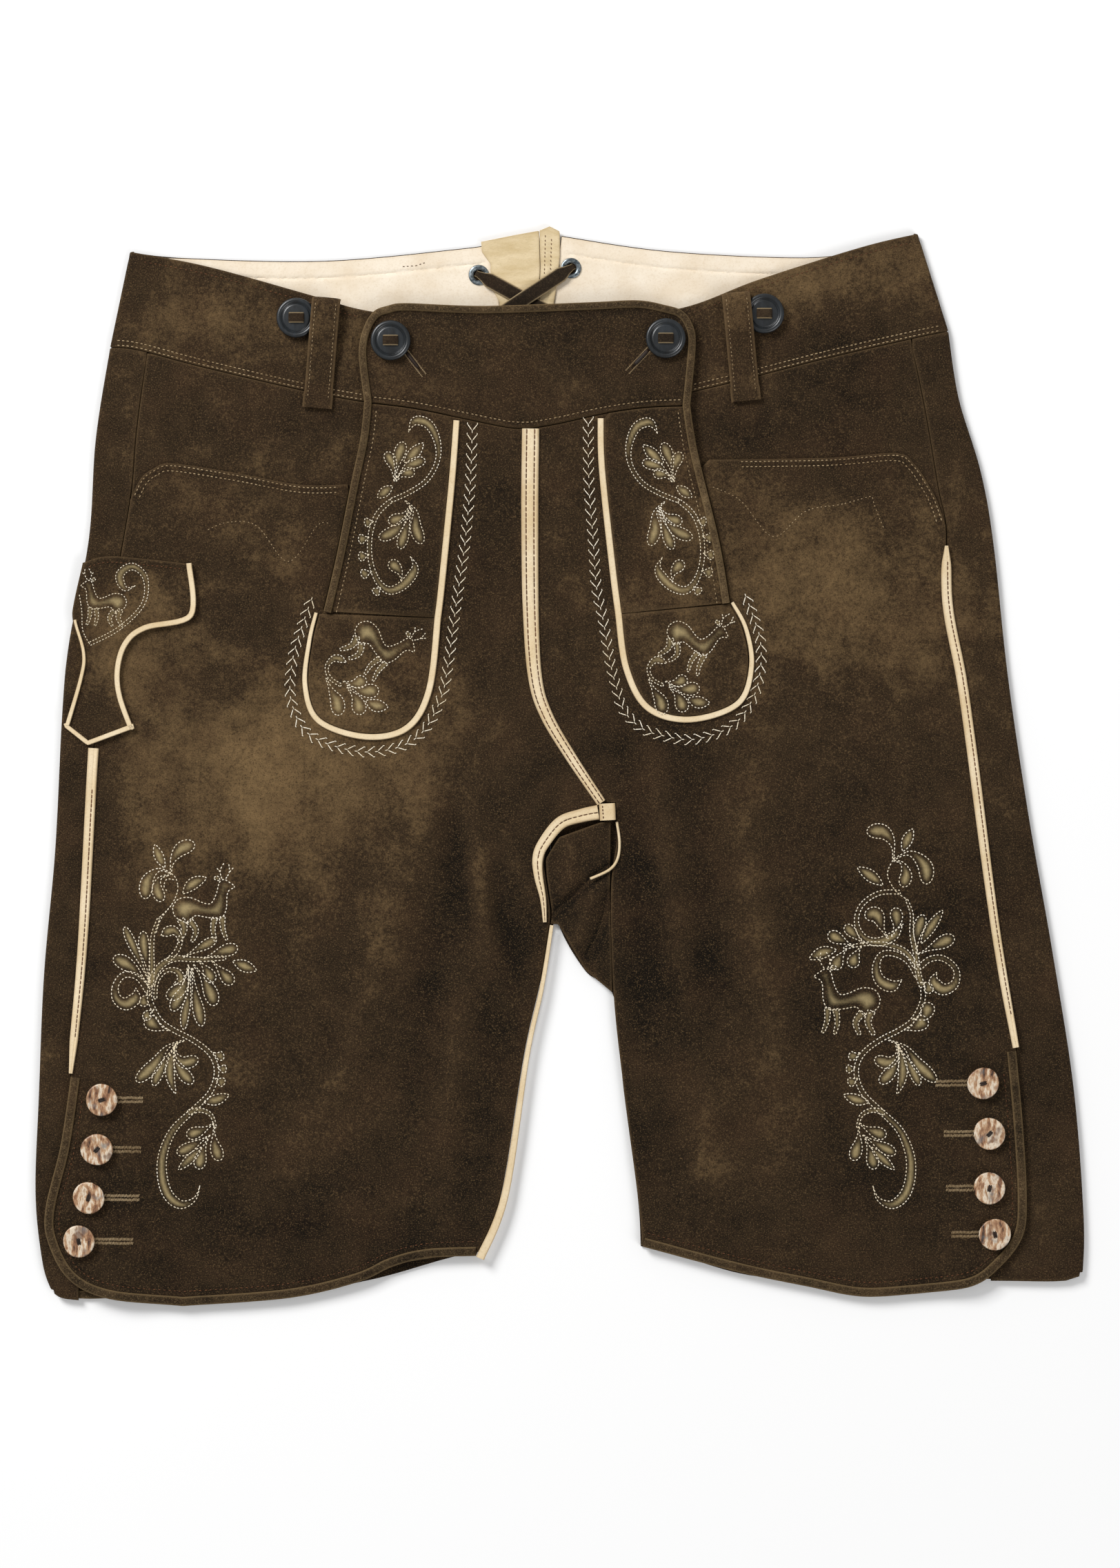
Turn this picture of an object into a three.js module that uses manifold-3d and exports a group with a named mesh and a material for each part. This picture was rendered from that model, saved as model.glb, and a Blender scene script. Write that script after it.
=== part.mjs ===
// Leather shorts with a drop-front flap, laid out flat on their back, as a scene graph of named meshes.
// Millimetres, +Z up, waist towards +Y. The origin is under the middle of the garment, on the surface it
// lies on.
// "left" and "right" are as the garment lies, seen from above: left is the wearer's right leg.
import * as THREE from "three";
import { mergeVertices } from "three/addons/utils/BufferGeometryUtils.js";
import Module from "manifold-3d";

const wasm = await Module();
wasm.setup();

// ---- driving dimensions ----
const LEATHER = 1.6; // main hide
const LINING = 0.8; // pale hide inside the waist and behind the lace
const OVERLAY = 1.2; // flap strips, tabs and the knife pocket
const BAND = 3.0; // the flap's band, a turned double layer
const PIPING = 1.0; // cream strip, pressed flat
const BINDING = 0.8; // dark strip turned over an edge
const SEAM_GAP = 0.3; // between pieces that meet edge to edge
const LAY_GAP = 0.5; // between pieces that lie on each other
const GRID = 30; // facet size of the laid surfaces
const FRONT_REST = 3.2; // underside of the front layer over the legs
const WAIST_RISE = 3.1; // how much higher the front layer lies at the waist opening
const LAP_LIFT = LEATHER + 0.6; // a layer that laps over another of the main hide
const UNDERLAP = 14; // how far the back leg reaches under the front at the hem slit
const CENTRE_X = -17; // centre front and centre back
const PIPING_WIDTH = 3.8;
const CENTRE_PIPING_WIDTH = 10;
const SIDE_PIPING_WIDTH = 6;
const FLAP_BINDING_WIDTH = 3.6;
const HEM_BINDING_WIDTH = 5.5;
const LOOP_WIDTH = 16.5;
const LOOP_THICKNESS = 1.4;
const LACE_WIDTH = 8.8;
const LACE_THICKNESS = 1.0;
const BUTTON = {
  dark: { radius: 11.6, height: 3.1 },
  horn: { radius: 9.2, height: 4.2 },
  recessShare: 0.72,
  recessDepth: 0.9,
};
const THONG = { length: 10, width: 6, thickness: 1.0 };
const EYELET = { bore: 3.2, rim: 6, hole: 4.3, top: 3.7 };
const ROUND_STEPS = 14; // facets round a button or an eyelet
const HOLE_STEPS = 12; // and round a punched hole

// Soft folds in the front layer: a ridge centred at x, y, that runs along its heading in degrees.
const FOLDS = [
  { x: -52, y: -75, heading: 100, length: 70, width: 24, height: 1.1 },
  { x: -100, y: -100, heading: 78, length: 90, width: 26, height: 0.8 },
  { x: 80, y: -60, heading: 96, length: 90, width: 26, height: 1.0 },
  { x: -165, y: 0, heading: 62, length: 60, width: 30, height: 0.7 },
  { x: 155, y: 60, heading: 118, length: 60, width: 30, height: 0.7 },
];
// Broad puffs of air between front and back.
const PUFFS = [
  { x: -160, y: -130, radius: 80, height: 0.6 },
  { x: 160, y: -120, radius: 80, height: 0.6 },
  { x: -60, y: 110, radius: 80, height: 0.4 },
];

const { clamp, lerp, degToRad } = THREE.MathUtils;
const ramp = (value, from, to) => {
  const t = clamp((value - from) / (to - from), 0, 1);
  return t * t * (3 - 2 * t);
};
const bell = (distance, radius) => Math.exp(-((distance / radius) ** 2));

// ---- heights of the laid layers ----
function airHeight(x, y) {
  let total = 0;
  for (const { x: cx, y: cy, heading, length, width, height } of FOLDS) {
    const c = Math.cos(degToRad(heading));
    const s = Math.sin(degToRad(heading));
    const u = (x - cx) * c + (y - cy) * s;
    const w = (y - cy) * c - (x - cx) * s;
    total += height * bell(u, length) * bell(w, width);
  }
  for (const { x: cx, y: cy, radius, height } of PUFFS) {
    total += height * bell(Math.hypot(x - cx, y - cy), radius);
  }
  return total;
}

// Underside of the lower front layer: low at the side folds, high at the waist opening.
function underlayer(x, y) {
  const waist = ramp(y, 130, 250) * (1 - ramp(Math.abs(x - CENTRE_X), 90, 215));
  return FRONT_REST + WAIST_RISE * waist + airHeight(x, y);
}

// Underside of the front panels and the flap: over the pocket facings at the top and the back legs at
// the slits.
function frontLayer(x, y) {
  const slit = (ramp(x, -228, -258) + ramp(x, 214, 240)) * ramp(y, -120, -165);
  return underlayer(x, y) + LAP_LIFT * (ramp(y, 92, 150) + slit);
}
const over = (under, rise) => (x, y) => under(x, y) + rise;
const onFront = over(frontLayer, LEATHER + LAY_GAP);
const onStrip = over(frontLayer, LEATHER + OVERLAY + 2 * LAY_GAP);
const level = (height) => () => height;

// ---- lines ----
function spline(points, steps = (points.length - 1) * 2) {
  const curve = new THREE.SplineCurve(points.map(([x, y]) => new THREE.Vector2(x, y)));
  return curve.getPoints(steps).map((p) => [p.x, p.y]);
}
const reversed = (points) => [...points].reverse();
const shifted = (points, dx, dy) => points.map(([x, y]) => [x + dx, y + dy]);

// The point a share of the way along a line, counted by its points.
function along(line, share) {
  const at = share * (line.length - 1);
  const i = Math.min(Math.floor(at), line.length - 2);
  return [lerp(line[i][0], line[i + 1][0], at - i), lerp(line[i][1], line[i + 1][1], at - i)];
}

// Where a line that runs down the garment crosses a height, or its nearer end.
function crossing(line, y) {
  for (let i = 1; i < line.length; i++) {
    const [a, b] = [line[i - 1], line[i]];
    if ((a[1] - y) * (b[1] - y) <= 0 && a[1] !== b[1]) return lerp(a[0], b[0], (y - a[1]) / (b[1] - a[1]));
  }
  const [first, last] = [line[0], line.at(-1)];
  return Math.abs(first[1] - y) < Math.abs(last[1] - y) ? first[0] : last[0];
}

// The height of a line that runs across the garment at a place x.
const heightAt = (line, x) => crossing(line.map(([px, py]) => [py, px]), x);

// The direction square to a line at one of its points.
function normalAt(line, i) {
  const a = line[Math.max(i - 1, 0)];
  const b = line[Math.min(i + 1, line.length - 1)];
  return new THREE.Vector2(a[1] - b[1], b[0] - a[0]).normalize();
}

// A line moved sideways. The distance may be a function of the share of the way along.
function parallel(line, distance) {
  const reach = typeof distance === "function" ? distance : () => distance;
  return line.map(([x, y], i) => {
    const n = normalAt(line, i).multiplyScalar(reach(i / (line.length - 1)));
    return [x + n.x, y + n.y];
  });
}

// The outline of a strip along a line. The width may be a function of the share of the way along.
function ribbon(line, width) {
  const half = typeof width === "function" ? (share) => width(share) / 2 : () => width / 2;
  return [...parallel(line, half), ...reversed(parallel(line, (share) => -half(share)))];
}

// An outline moved inwards by a distance.
function inset(points, distance) {
  const inwards = Math.sign(THREE.ShapeUtils.area(points.map(([x, y]) => ({ x, y }))));
  return points.map((p, i) => {
    const before = points[(i + points.length - 1) % points.length];
    const after = points[(i + 1) % points.length];
    const a = new THREE.Vector2(before[1] - p[1], p[0] - before[0]).normalize();
    const b = new THREE.Vector2(p[1] - after[1], after[0] - p[0]).normalize();
    const n = a.clone().add(b).normalize();
    const reach = (inwards * distance) / Math.max(0.5, n.dot(a));
    return [p[0] + n.x * reach, p[1] + n.y * reach];
  });
}

// ---- solids ----
function solidOf(geometry) {
  const bare = geometry.clone();
  bare.deleteAttribute("normal");
  bare.deleteAttribute("uv");
  const merged = mergeVertices(bare, 1e-4);
  const vertProperties = new Float32Array(merged.attributes.position.array);
  const triVerts = new Uint32Array(merged.index.array);
  return new wasm.Manifold(new wasm.Mesh({ numProp: 3, vertProperties, triVerts }));
}

function geometryOf(solid) {
  const { vertProperties, triVerts } = solid.getMesh();
  const geometry = new THREE.BufferGeometry();
  geometry.setAttribute("position", new THREE.BufferAttribute(vertProperties, 3));
  geometry.setIndex(new THREE.BufferAttribute(triVerts, 1));
  geometry.computeVertexNormals();
  return geometry;
}

function prism(outline, low = -10) {
  const shape = new THREE.Shape(outline.map(([x, y]) => new THREE.Vector2(x, y)));
  const geometry = new THREE.ExtrudeGeometry(shape, { depth: 60, bevelEnabled: false });
  geometry.translate(0, 0, low);
  return solidOf(geometry);
}

// A closed wall between two grids of points.
function closedShell(outer, inner, columns, rows) {
  const count = columns * rows;
  const faces = [];
  const quad = (a, b, c, d) => faces.push(a, b, c, a, c, d);
  for (let j = 0; j < rows - 1; j++)
    for (let i = 0; i < columns - 1; i++) {
      const a = j * columns + i;
      quad(a, a + 1, a + 1 + columns, a + columns);
      quad(count + a + columns, count + a + 1 + columns, count + a + 1, count + a);
    }
  for (let i = 0; i < columns - 1; i++) {
    const top = (rows - 1) * columns + i;
    quad(i, count + i, count + i + 1, i + 1);
    quad(top + 1, count + top + 1, count + top, top);
  }
  for (let j = 0; j < rows - 1; j++) {
    const a = j * columns;
    const b = a + columns - 1;
    quad(a + columns, count + a + columns, count + a, a);
    quad(b, count + b, count + b + columns, b + columns);
  }
  const points = [...outer, ...inner];
  let volume = 0;
  for (let f = 0; f < faces.length; f += 3) {
    const [a, b, c] = [points[faces[f]], points[faces[f + 1]], points[faces[f + 2]]];
    volume += a.dot(new THREE.Vector3().crossVectors(b, c));
  }
  if (volume < 0) faces.reverse();
  const geometry = new THREE.BufferGeometry().setFromPoints(points);
  geometry.setIndex(faces);
  return solidOf(geometry);
}

// A sheet over a height, inside an outline. All sheets share one grid, so that their facets stay parallel.
function laid(outline, under, thickness) {
  const range = (axis) => {
    const values = outline.map((p) => p[axis]);
    return [Math.floor(Math.min(...values) / GRID) - 1, Math.ceil(Math.max(...values) / GRID) + 1];
  };
  const [left, right] = range(0);
  const [low, high] = range(1);
  const lower = [];
  for (let j = low; j <= high; j++)
    for (let i = left; i <= right; i++) {
      const [x, y] = [i * GRID, j * GRID];
      lower.push(new THREE.Vector3(x, y, under(x, y)));
    }
  const upper = lower.map((p) => new THREE.Vector3(p.x, p.y, p.z + thickness));
  return prism(outline).intersect(closedShell(upper, lower, right - left + 1, high - low + 1));
}
const panel = (outline, under, thickness = LEATHER) => laid(inset(outline, SEAM_GAP / 2), under, thickness);

// A strap whose middle follows a path, turned only about the level line square to it. Where it drops
// straight down at its far end, its upper face is the one turned away from its start.
function strap(path, width, thickness) {
  const wide = typeof width === "function" ? width : () => width;
  const points = path.map((p) => new THREE.Vector3(...p));
  const across = points.at(-1).clone().sub(points[0]).setZ(0).normalize();
  across.set(-across.y, across.x, 0);
  const upper = [];
  const lower = [];
  points.forEach((p, i) => {
    const ahead = points[Math.min(i + 1, points.length - 1)];
    const behind = points[Math.max(i - 1, 0)];
    const up = new THREE.Vector3().crossVectors(ahead.clone().sub(behind), across).normalize();
    if (up.z < 0 || (up.z === 0 && i > 0)) up.negate();
    for (const sign of [-1, 1]) {
      const edge = p.clone().addScaledVector(across, (sign * wide(i)) / 2);
      upper.push(edge.clone().addScaledVector(up, thickness / 2));
      lower.push(edge.clone().addScaledVector(up, -thickness / 2));
    }
  });
  return closedShell(upper, lower, 2, points.length);
}

// A round piece from a profile of radius and height.
function turned(profile, segments, x, y, z) {
  const lathe = new THREE.LatheGeometry(profile.map(([r, h]) => new THREE.Vector2(r, h)), segments);
  lathe.rotateX(Math.PI / 2);
  lathe.translate(x, y, z);
  return solidOf(lathe);
}

// ---- the group and its materials ----
const group = new THREE.Group();
group.name = "lederhosen";
function finish(color, roughness, metalness = 0) {
  return new THREE.MeshStandardMaterial({ color, roughness, metalness });
}
const SUEDE = finish(0x3a2c1e, 0.95);
const EDGE = finish(0x4a3b28, 0.9);
const CREAM = finish(0xdcc49a, 0.8);
const PALE = finish(0xe9dcc6, 0.85);
const DARK_HORN = finish(0x20272c, 0.35);
const STAG_HORN = finish(0xa98465, 0.5);
const METAL = finish(0x4d5458, 0.3, 1);

function add(name, solid, material) {
  const mesh = new THREE.Mesh(geometryOf(solid), material);
  mesh.name = name;
  group.add(mesh);
}

// ---- lines that the pieces share ----
const CROTCH = [24, -21];
const CENTRE_FRONT = spline([[CENTRE_X, 196], [-17.5, 150], [-17, 92], [-14.5, 52], [-8, 30], [6, 6],
  CROTCH], 10);
const NOTCH_FOOT = [-20, 172]; // of the laced opening at centre back
const APEX = [-3.6, -90]; // top of the gap between the legs
const FLAP_TOP = spline([[-98.8, 266.8], [-88.8, 268], [-44.8, 266.4], [15.2, 268.4], [45, 269.6],
  [61.2, 266.8]], 8);

const LEFT = {
  name: "left",
  side: -1,
  edge: spline([[-261.6, 243.5], [-270, 190], [-274, 132], [-285.5, 72], [-289.5, 30], [-293.5, -48],
    [-300, -120], [-303, -190], [-305, -248], [-301, -288], [-296, -304]], 14),
  sideSeam: spline([[-240, 240], [-246, 195], [-249.5, 155], [-258.5, 104], [-265.5, 60], [-270.8, 11],
    [-277, -100], [-284, -180]], 10),
  slit: spline([[-284, -180], [-290, -220], [-298.8, -257], [-297, -277], [-285, -298], [-262, -309],
    [-219, -313.5]], 9),
  hem: spline([[-219, -313.5], [-157, -308.8], [-117, -299.5], [-97, -290.5], [-77, -285.6],
    [-48.8, -284.4]], 7),
  inseam: spline([[-48.8, -284.4], [-34, -248], [-21, -168], [-12, -128], [-6, -92]], 6),
  crotch: spline([[-6, -92], [-5.6, -83], [-8.4, -63.6], [-9, -53.6], [-2.8, -38.4], [17, -32],
    [24.2, -31.4]], 8),
  mouth: spline([[-249.5, 155], [-243.6, 167], [-236, 173], [-225, 176], [-188, 170.4], [-150, 163.5],
    [-121, 164]], 9),
  flapEdge: spline([[-113.2, 211], [-115.5, 190], [-121, 164], [-129, 124], [-137, 90]], 6),
  flapCorner: spline([[-98.8, 266.8], [-107.5, 263.5], [-113.5, 254], [-116.4, 239], [-113.2, 211]], 7),
  bandSeam: spline([[-113.2, 211], [-85, 207.5], [-55, 201.5], [-30, 196.5], [CENTRE_X, 196]], 6),
  waistSeam: spline([[CENTRE_X - 1, 204.4], [-85, 208.4], [-133, 215], [-205, 231.5], [-245, 242],
    [-261.6, 243.5]], 9),
  waistTop: spline([[CENTRE_X - 1, 257], [-65, 258.5], [-112.8, 264.5], [-145, 273.6], [-205, 290.4],
    [-250, 299]], 9),
  backSeam: spline([[-261.6, 243.5], [-200, 239], [-120, 239], [-32, 243]], 7),
  backTop: spline([[-250, 299], [-217, 295.6], [-137, 294], [-57, 301.2], [-40, 304]], 7),
  backMiddle: spline([[-33, 242.5], NOTCH_FOOT, [-14, 60], [-5, -60], APEX, [-12, -128], [-21, -168],
    [-34, -248], [-46, -282]], 13),
  backHem: spline([[-296, -304], [-286, -309.5], [-250, -309], [-150, -298], [-46, -282]], 8),
  pipingRun: spline([[-60, 200.4], [-62.8, 164], [-68.8, 104.4], [-71, 86]], 5),
  pipingLoop: spline([[-71, 86], [-76, 44.4], [-88.8, 22.4], [-112.8, 17.2], [-140, 26.4], [-148, 47],
    [-145.6, 72.4], [-141.6, 89.2]], 16),
  facingFoot: [[-76, 148], [-76, 206]],
  hornButtons: [[-265.6, -193.2], [-268.4, -222], [-273.2, -250], [-278.8, -275.2]],
  braceButton: [-152.8, 260],
  flapButton: [-98, 246.4],
  loop: { top: [-135.2, 271], foot: [-140.8, 207.8] },
  sidePipingTop: 9,
};
const RIGHT = {
  name: "right",
  side: 1,
  edge: spline([[225.8, 253], [231.8, 214], [244.5, 172], [252, 130], [260.5, 52], [272.4, -28],
    [286.4, -108], [298.8, -188], [304.5, -262], [304, -294]], 14),
  sideSeam: spline([[204.5, 244.5], [212, 208], [220, 161], [224, 140], [225, 95], [233, 52], [239, 10],
    [252.5, -92], [264.8, -165]], 10),
  slit: spline([[264.8, -165], [268.5, -205], [271, -250], [268.5, -273], [255, -291], [238.4, -302],
    [207, -306.4]], 9),
  hem: spline([[207, -306.4], [175, -308], [143, -302], [103, -293.6], [48, -279]], 7),
  inseam: spline([[48, -279], [45.2, -250], [37, -188], [31, -132], [29.5, -72], [33, -42],
    [32.6, -31.6]], 9),
  crotch: [[32.6, -31.6], [32.6, -21]],
  mouth: spline([[224, 140], [219, 154.5], [213, 165.5], [206, 175.5], [195, 182], [155, 179.2],
    [80.5, 178]], 9),
  flapEdge: spline([[75.2, 209], [77.2, 195], [80.5, 178], [92.4, 129.6], [98.4, 95]], 6),
  flapCorner: spline([[61.2, 266.8], [70, 264], [76, 257], [78.4, 244.4], [75.2, 209]], 7),
  bandSeam: spline([[75.2, 209], [50, 208], [25, 204.5], [0, 199], [CENTRE_X, 196]], 6),
  waistSeam: spline([[CENTRE_X + 1, 204.4], [15, 207.6], [77, 217.6], [155, 237.2], [204, 248.5],
    [225.8, 253]], 9),
  waistTop: spline([[CENTRE_X + 1, 257], [15, 258], [71, 266], [115, 282.4], [175, 301.6],
    [208, 309.5]], 9),
  backSeam: spline([[225.8, 253], [150, 243], [60, 242], [-10, 243]], 7),
  backTop: spline([[208, 309.5], [179, 301], [143, 296], [63, 299.6], [1, 308.5]], 7),
  backMiddle: spline([[-9, 242.5], [-19.4, 172], [-13.4, 60], [-4.4, -60], [-1, -91], [14.8, -119],
    [31, -133], [37, -188], [45.2, -250], [47, -279]], 13),
  backHem: spline([[304, -294], [296, -298.5], [268, -299], [180, -296], [47, -279]], 8),
  pipingRun: spline([[23.6, 201.6], [24.4, 172.4], [30.4, 116.4], [34, 88.4]], 5),
  pipingLoop: spline([[34, 88.4], [38.5, 57], [51, 34], [75.2, 27.2], [103.2, 36.4], [111.2, 58], [108, 80],
    [100, 95.2]], 16),
  facingFoot: [[38, 162], [38, 208]],
  hornButtons: [[245.2, -183.6], [248.8, -212.8], [248.8, -244.4], [252, -271.2]],
  braceButton: [118.4, 262.4],
  flapButton: [61.2, 247.6],
  loop: { top: [101.8, 274], foot: [108, 212] },
  sidePipingTop: 128,
};
const SIDES = [LEFT, RIGHT];

// ---- back legs: from the side seam on top, round the side fold, to the middle underneath ----
const TURN = [90, 130, 180, 230, 270]; // directions round a side fold, in degrees

// One row of a piece that turns round a side fold. Each entry is a point of its outer face and the
// inward direction there.
function foldRow(side, topLine, edge, bottomLine) {
  const radius = (underlayer(edge[0], edge[1]) + LEATHER) / 2;
  const row = topLine.map(([x, y]) => [x, y, underlayer(x, y) + LEATHER, 0, -1]);
  for (const turn of TURN) {
    const c = Math.cos(degToRad(turn));
    const s = Math.sin(degToRad(turn));
    row.push([edge[0] - side * radius * (1 + c), edge[1], radius * (1 + s), side * c, -s]);
  }
  for (const [x, y] of bottomLine) row.push([x, y, 0, 0, 1]);
  return row;
}

function foldedPiece(rows) {
  const outer = rows.flat().map(([x, y, z]) => new THREE.Vector3(x, y, z));
  const inwards = ([x, y, z, nx, nz]) => new THREE.Vector3(x + nx * LEATHER, y, z + nz * LEATHER);
  return closedShell(outer, rows.flat().map(inwards), rows[0].length, rows.length);
}

const LEG_ROWS = 13;
const OVERCUT = 4; // the back legs are made this much too wide at the side seam, then cut along it
const WAIST_TRIM = 1; // the back legs stop this much short of the waistband, whose facets differ
const BOTTOM_COLUMNS = 7;

function backLeg({ side, edge, sideSeam, slit, waistSeam, backSeam, backMiddle, backHem }) {
  const rows = [];
  for (let j = 0; j <= LEG_ROWS; j++) {
    const v = j / LEG_ROWS;
    const [foldX, y] = along(edge, v);
    const inner = along(backMiddle, v);
    const atSlit = y < slit[0][1] - 10;
    const underFront = crossing(slit.slice(0, 6), y) - side * UNDERLAP;
    const seamX = atSlit ? underFront : crossing(sideSeam, y) - side * OVERCUT;
    const start = foldX - (side * (underlayer(foldX, y) + LEATHER)) / 2;
    const dropped = j === 0 ? WAIST_TRIM : 0;
    const topLine = [0, 0.5].map((s) => {
      const x = lerp(seamX, start, s);
      return [x, j === 0 ? heightAt(waistSeam, x) - dropped : y];
    });
    const bottomLine = [];
    for (let i = 1; i <= BOTTOM_COLUMNS; i++) {
      const u = i / BOTTOM_COLUMNS;
      const waistBow = along(backSeam, u)[1] - lerp(backSeam[0][1], backSeam.at(-1)[1], u);
      const hemBow = along(backHem, u)[1] - lerp(backHem[0][1], backHem.at(-1)[1], u);
      const bow = (1 - v) * waistBow + v * hemBow;
      bottomLine.push([lerp(start, inner[0], u), lerp(y, inner[1], u) + bow - dropped]);
    }
    rows.push(foldRow(side, topLine, [foldX, y - dropped], bottomLine));
  }
  const edgeLine = shifted([[sideSeam[0][0], sideSeam[0][1] + OVERCUT], ...sideSeam],
    (side * SEAM_GAP) / 2, 0);
  const overFront = [...edgeLine, ...reversed(shifted(edgeLine, -side * 8 * OVERCUT, 0))];
  return foldedPiece(rows).subtract(prism(overFront, LEATHER + SEAM_GAP));
}

// The centre back seam, from above the notch to below the gap between the legs, and what lies on one
// side of it.
const CENTRE_BACK = [[NOTCH_FOOT[0], 320], NOTCH_FOOT, [-14, 60], [-5, -60], APEX, [0, -340]];
function halfOf(side) {
  const line = shifted(CENTRE_BACK, (side * SEAM_GAP) / 2, 0);
  return prism([...line, [side * 340, -340], [side * 340, 320]]);
}
for (const lines of SIDES) add(`back_${lines.name}`, backLeg(lines).intersect(halfOf(lines.side)), SUEDE);

// ---- waistband: each half runs from centre front, round the side fold, to the laced notch at centre
// back ----
const EYELETS = [
  { name: "eyelet_upper_left", x: -47.2, y: 285.6 },
  { name: "eyelet_upper_right", x: 6.4, y: 289.6 },
  { name: "eyelet_lower_left", x: -42.5, y: 257 },
  { name: "eyelet_lower_right", x: 3.5, y: 258 },
];

function punched(solid) {
  const hole = [[0, -2], [EYELET.hole, -2], [EYELET.hole, 4], [0, 4]];
  return EYELETS.reduce((rest, { x, y }) => rest.subtract(turned(hole, HOLE_STEPS, x, y, 0)), solid);
}

const BAND_FOOT = 0.006; // the band starts this share of its width above the seam
const FRONT_SHARES = [0, 0.12, 0.25, 0.38, 0.5, 0.62, 0.75, 0.88];
const REAR_SHARES = [0.12, 0.28, 0.44, 0.6, 0.75, 0.88, 1];

function waistband({ side, waistSeam, waistTop, backSeam, backTop }) {
  const rows = [BAND_FOOT, 0.5, 1].map((v) => {
    const between = (low, high) => (share) => {
      const a = along(low, share);
      const b = along(high, share);
      return [lerp(a[0], b[0], v), lerp(a[1], b[1], v)];
    };
    const front = FRONT_SHARES.map(between(waistSeam, waistTop));
    const rear = REAR_SHARES.map(between(backSeam, backTop));
    return foldRow(side, front, between(waistSeam, waistTop)(1), rear);
  });
  return foldedPiece(rows);
}
for (const lines of SIDES) add(`waistband_${lines.name}`, punched(waistband(lines)), SUEDE);

// ---- pale lining inside the back of the waistband, the lace insert, the eyelets and the lace ----
const LINING_UNDER = LEATHER + SEAM_GAP;
const INSERT_RISE = LINING + SEAM_GAP;
const insertUnder = (x, y) => LINING_UNDER + INSERT_RISE * clamp((y - 220) / 20, 0, 1);

for (const { name, side, backTop, backSeam } of SIDES) {
  const outerEnd = [backTop[0][0] - side * 6, backTop[0][1] - 3];
  const outerFoot = [backSeam[0][0] - side * 6, backSeam[0][1] + 4];
  const top = shifted(backTop.slice(1), 0, -1);
  const foot = shifted(reversed(backSeam.slice(1)), 0, 3);
  const outline = [outerEnd, ...top, ...foot, outerFoot];
  add(`waist_lining_${name}`, punched(panel(outline, level(LINING_UNDER), LINING)), PALE);
}

const INSERT = [[-46, 305], [-26, 309], [-12, 311.5], [-11.5, 290], [-13, 240], NOTCH_FOOT, [-30, 240],
  [-34, 255], [-35.5, 270], [-40.2, 279], [-40.6, 292], [-45.6, 299]];
const INSERT_EDGE = [[-12, 311.5], [-6, 314], [0, 311], [0.1, 297], [-1, 284], [-4.5, 262], [-9, 240],
  [-13, 240], [-11.5, 290]];
add("lace_insert", panel(INSERT, insertUnder, LINING), PALE);
add("lace_insert_edge", panel(INSERT_EDGE, insertUnder, LINING), PALE);

for (const { name, x, y } of EYELETS) {
  const barrel = EYELET.bore + 0.7;
  const tube = [[EYELET.bore, 0.2], [barrel, 0.2], [barrel, 3]];
  const rim = [[EYELET.rim - 0.6, 3], [EYELET.rim, 3.3], [4.6, EYELET.top], [EYELET.bore, 3.4]];
  add(name, turned([...tube, ...rim, [EYELET.bore, 0.2]], ROUND_STEPS, x, y, 0), METAL);
}

const LACE_END_WIDTHS = [3.6, 3.6, 3.6, 5.5]; // gathered to pass through its eyelet
const LACE_CROSSING = 0.56; // share of the way along at which one strand crosses the other
const LACES = [
  { name: "lace_under", from: EYELETS[0], to: EYELETS[3], hump: 0 },
  { name: "lace_over", from: EYELETS[1], to: EYELETS[2], hump: LACE_THICKNESS + LAY_GAP },
];
for (const { name, from, to, hump } of LACES) {
  const span = Math.hypot(to.x - from.x, to.y - from.y);
  const overRim = EYELET.top + SEAM_GAP + LACE_THICKNESS / 2;
  const ends = [
    { d: -1.6, z: 1 },
    { d: -1.6, z: 3.4 },
    { d: -0.4, z: overRim - 0.1 },
    { d: 3, z: overRim + 0.35 },
    { d: 7, z: overRim + 0.3 },
  ];
  const middle = [0.26, 0.34, 0.48, LACE_CROSSING, 0.66, 0.78].map((share) => ({
    d: share * span,
    z: overRim + 0.15 + hump * (1 - ramp(Math.abs(share - LACE_CROSSING), 0.14, 0.28)),
  }));
  const stops = [...ends, ...middle, ...reversed(ends).map(({ d, z }) => ({ d: span - d, z }))];
  const path = stops.map(({ d, z }) => [lerp(from.x, to.x, d / span), lerp(from.y, to.y, d / span), z]);
  const width = (i) => LACE_END_WIDTHS[Math.min(i, stops.length - 1 - i)] ?? LACE_WIDTH;
  add(name, strap(path, width, LACE_THICKNESS), SUEDE);
}

// ---- pocket facings: from the side seam, under the pocket mouth and the flap ----
const FACING_TRIM = 1.3; // they stop this much short of the waistband
const FACING_REACH = 14; // and reach this far under the pocket mouth
for (const { name, side, sideSeam, mouth, waistSeam, facingFoot } of SIDES) {
  const shown = ([x]) => side * (x - facingFoot[0][0]) > 4 && side * (x - sideSeam[0][0]) < -3;
  const top = shifted(waistSeam.filter(shown), 0, -FACING_TRIM);
  const outer = [0, 0.12, 0.24, 0.33].map((s) => along(sideSeam, s)).filter(([, y]) => y > mouth[0][1] - 2);
  const foot = shifted(mouth.slice(1, -1), -side * 2, -FACING_REACH);
  add(`pocket_facing_${name}`, panel([...outer, ...foot, ...facingFoot, ...top], underlayer), SUEDE);
}

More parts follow.
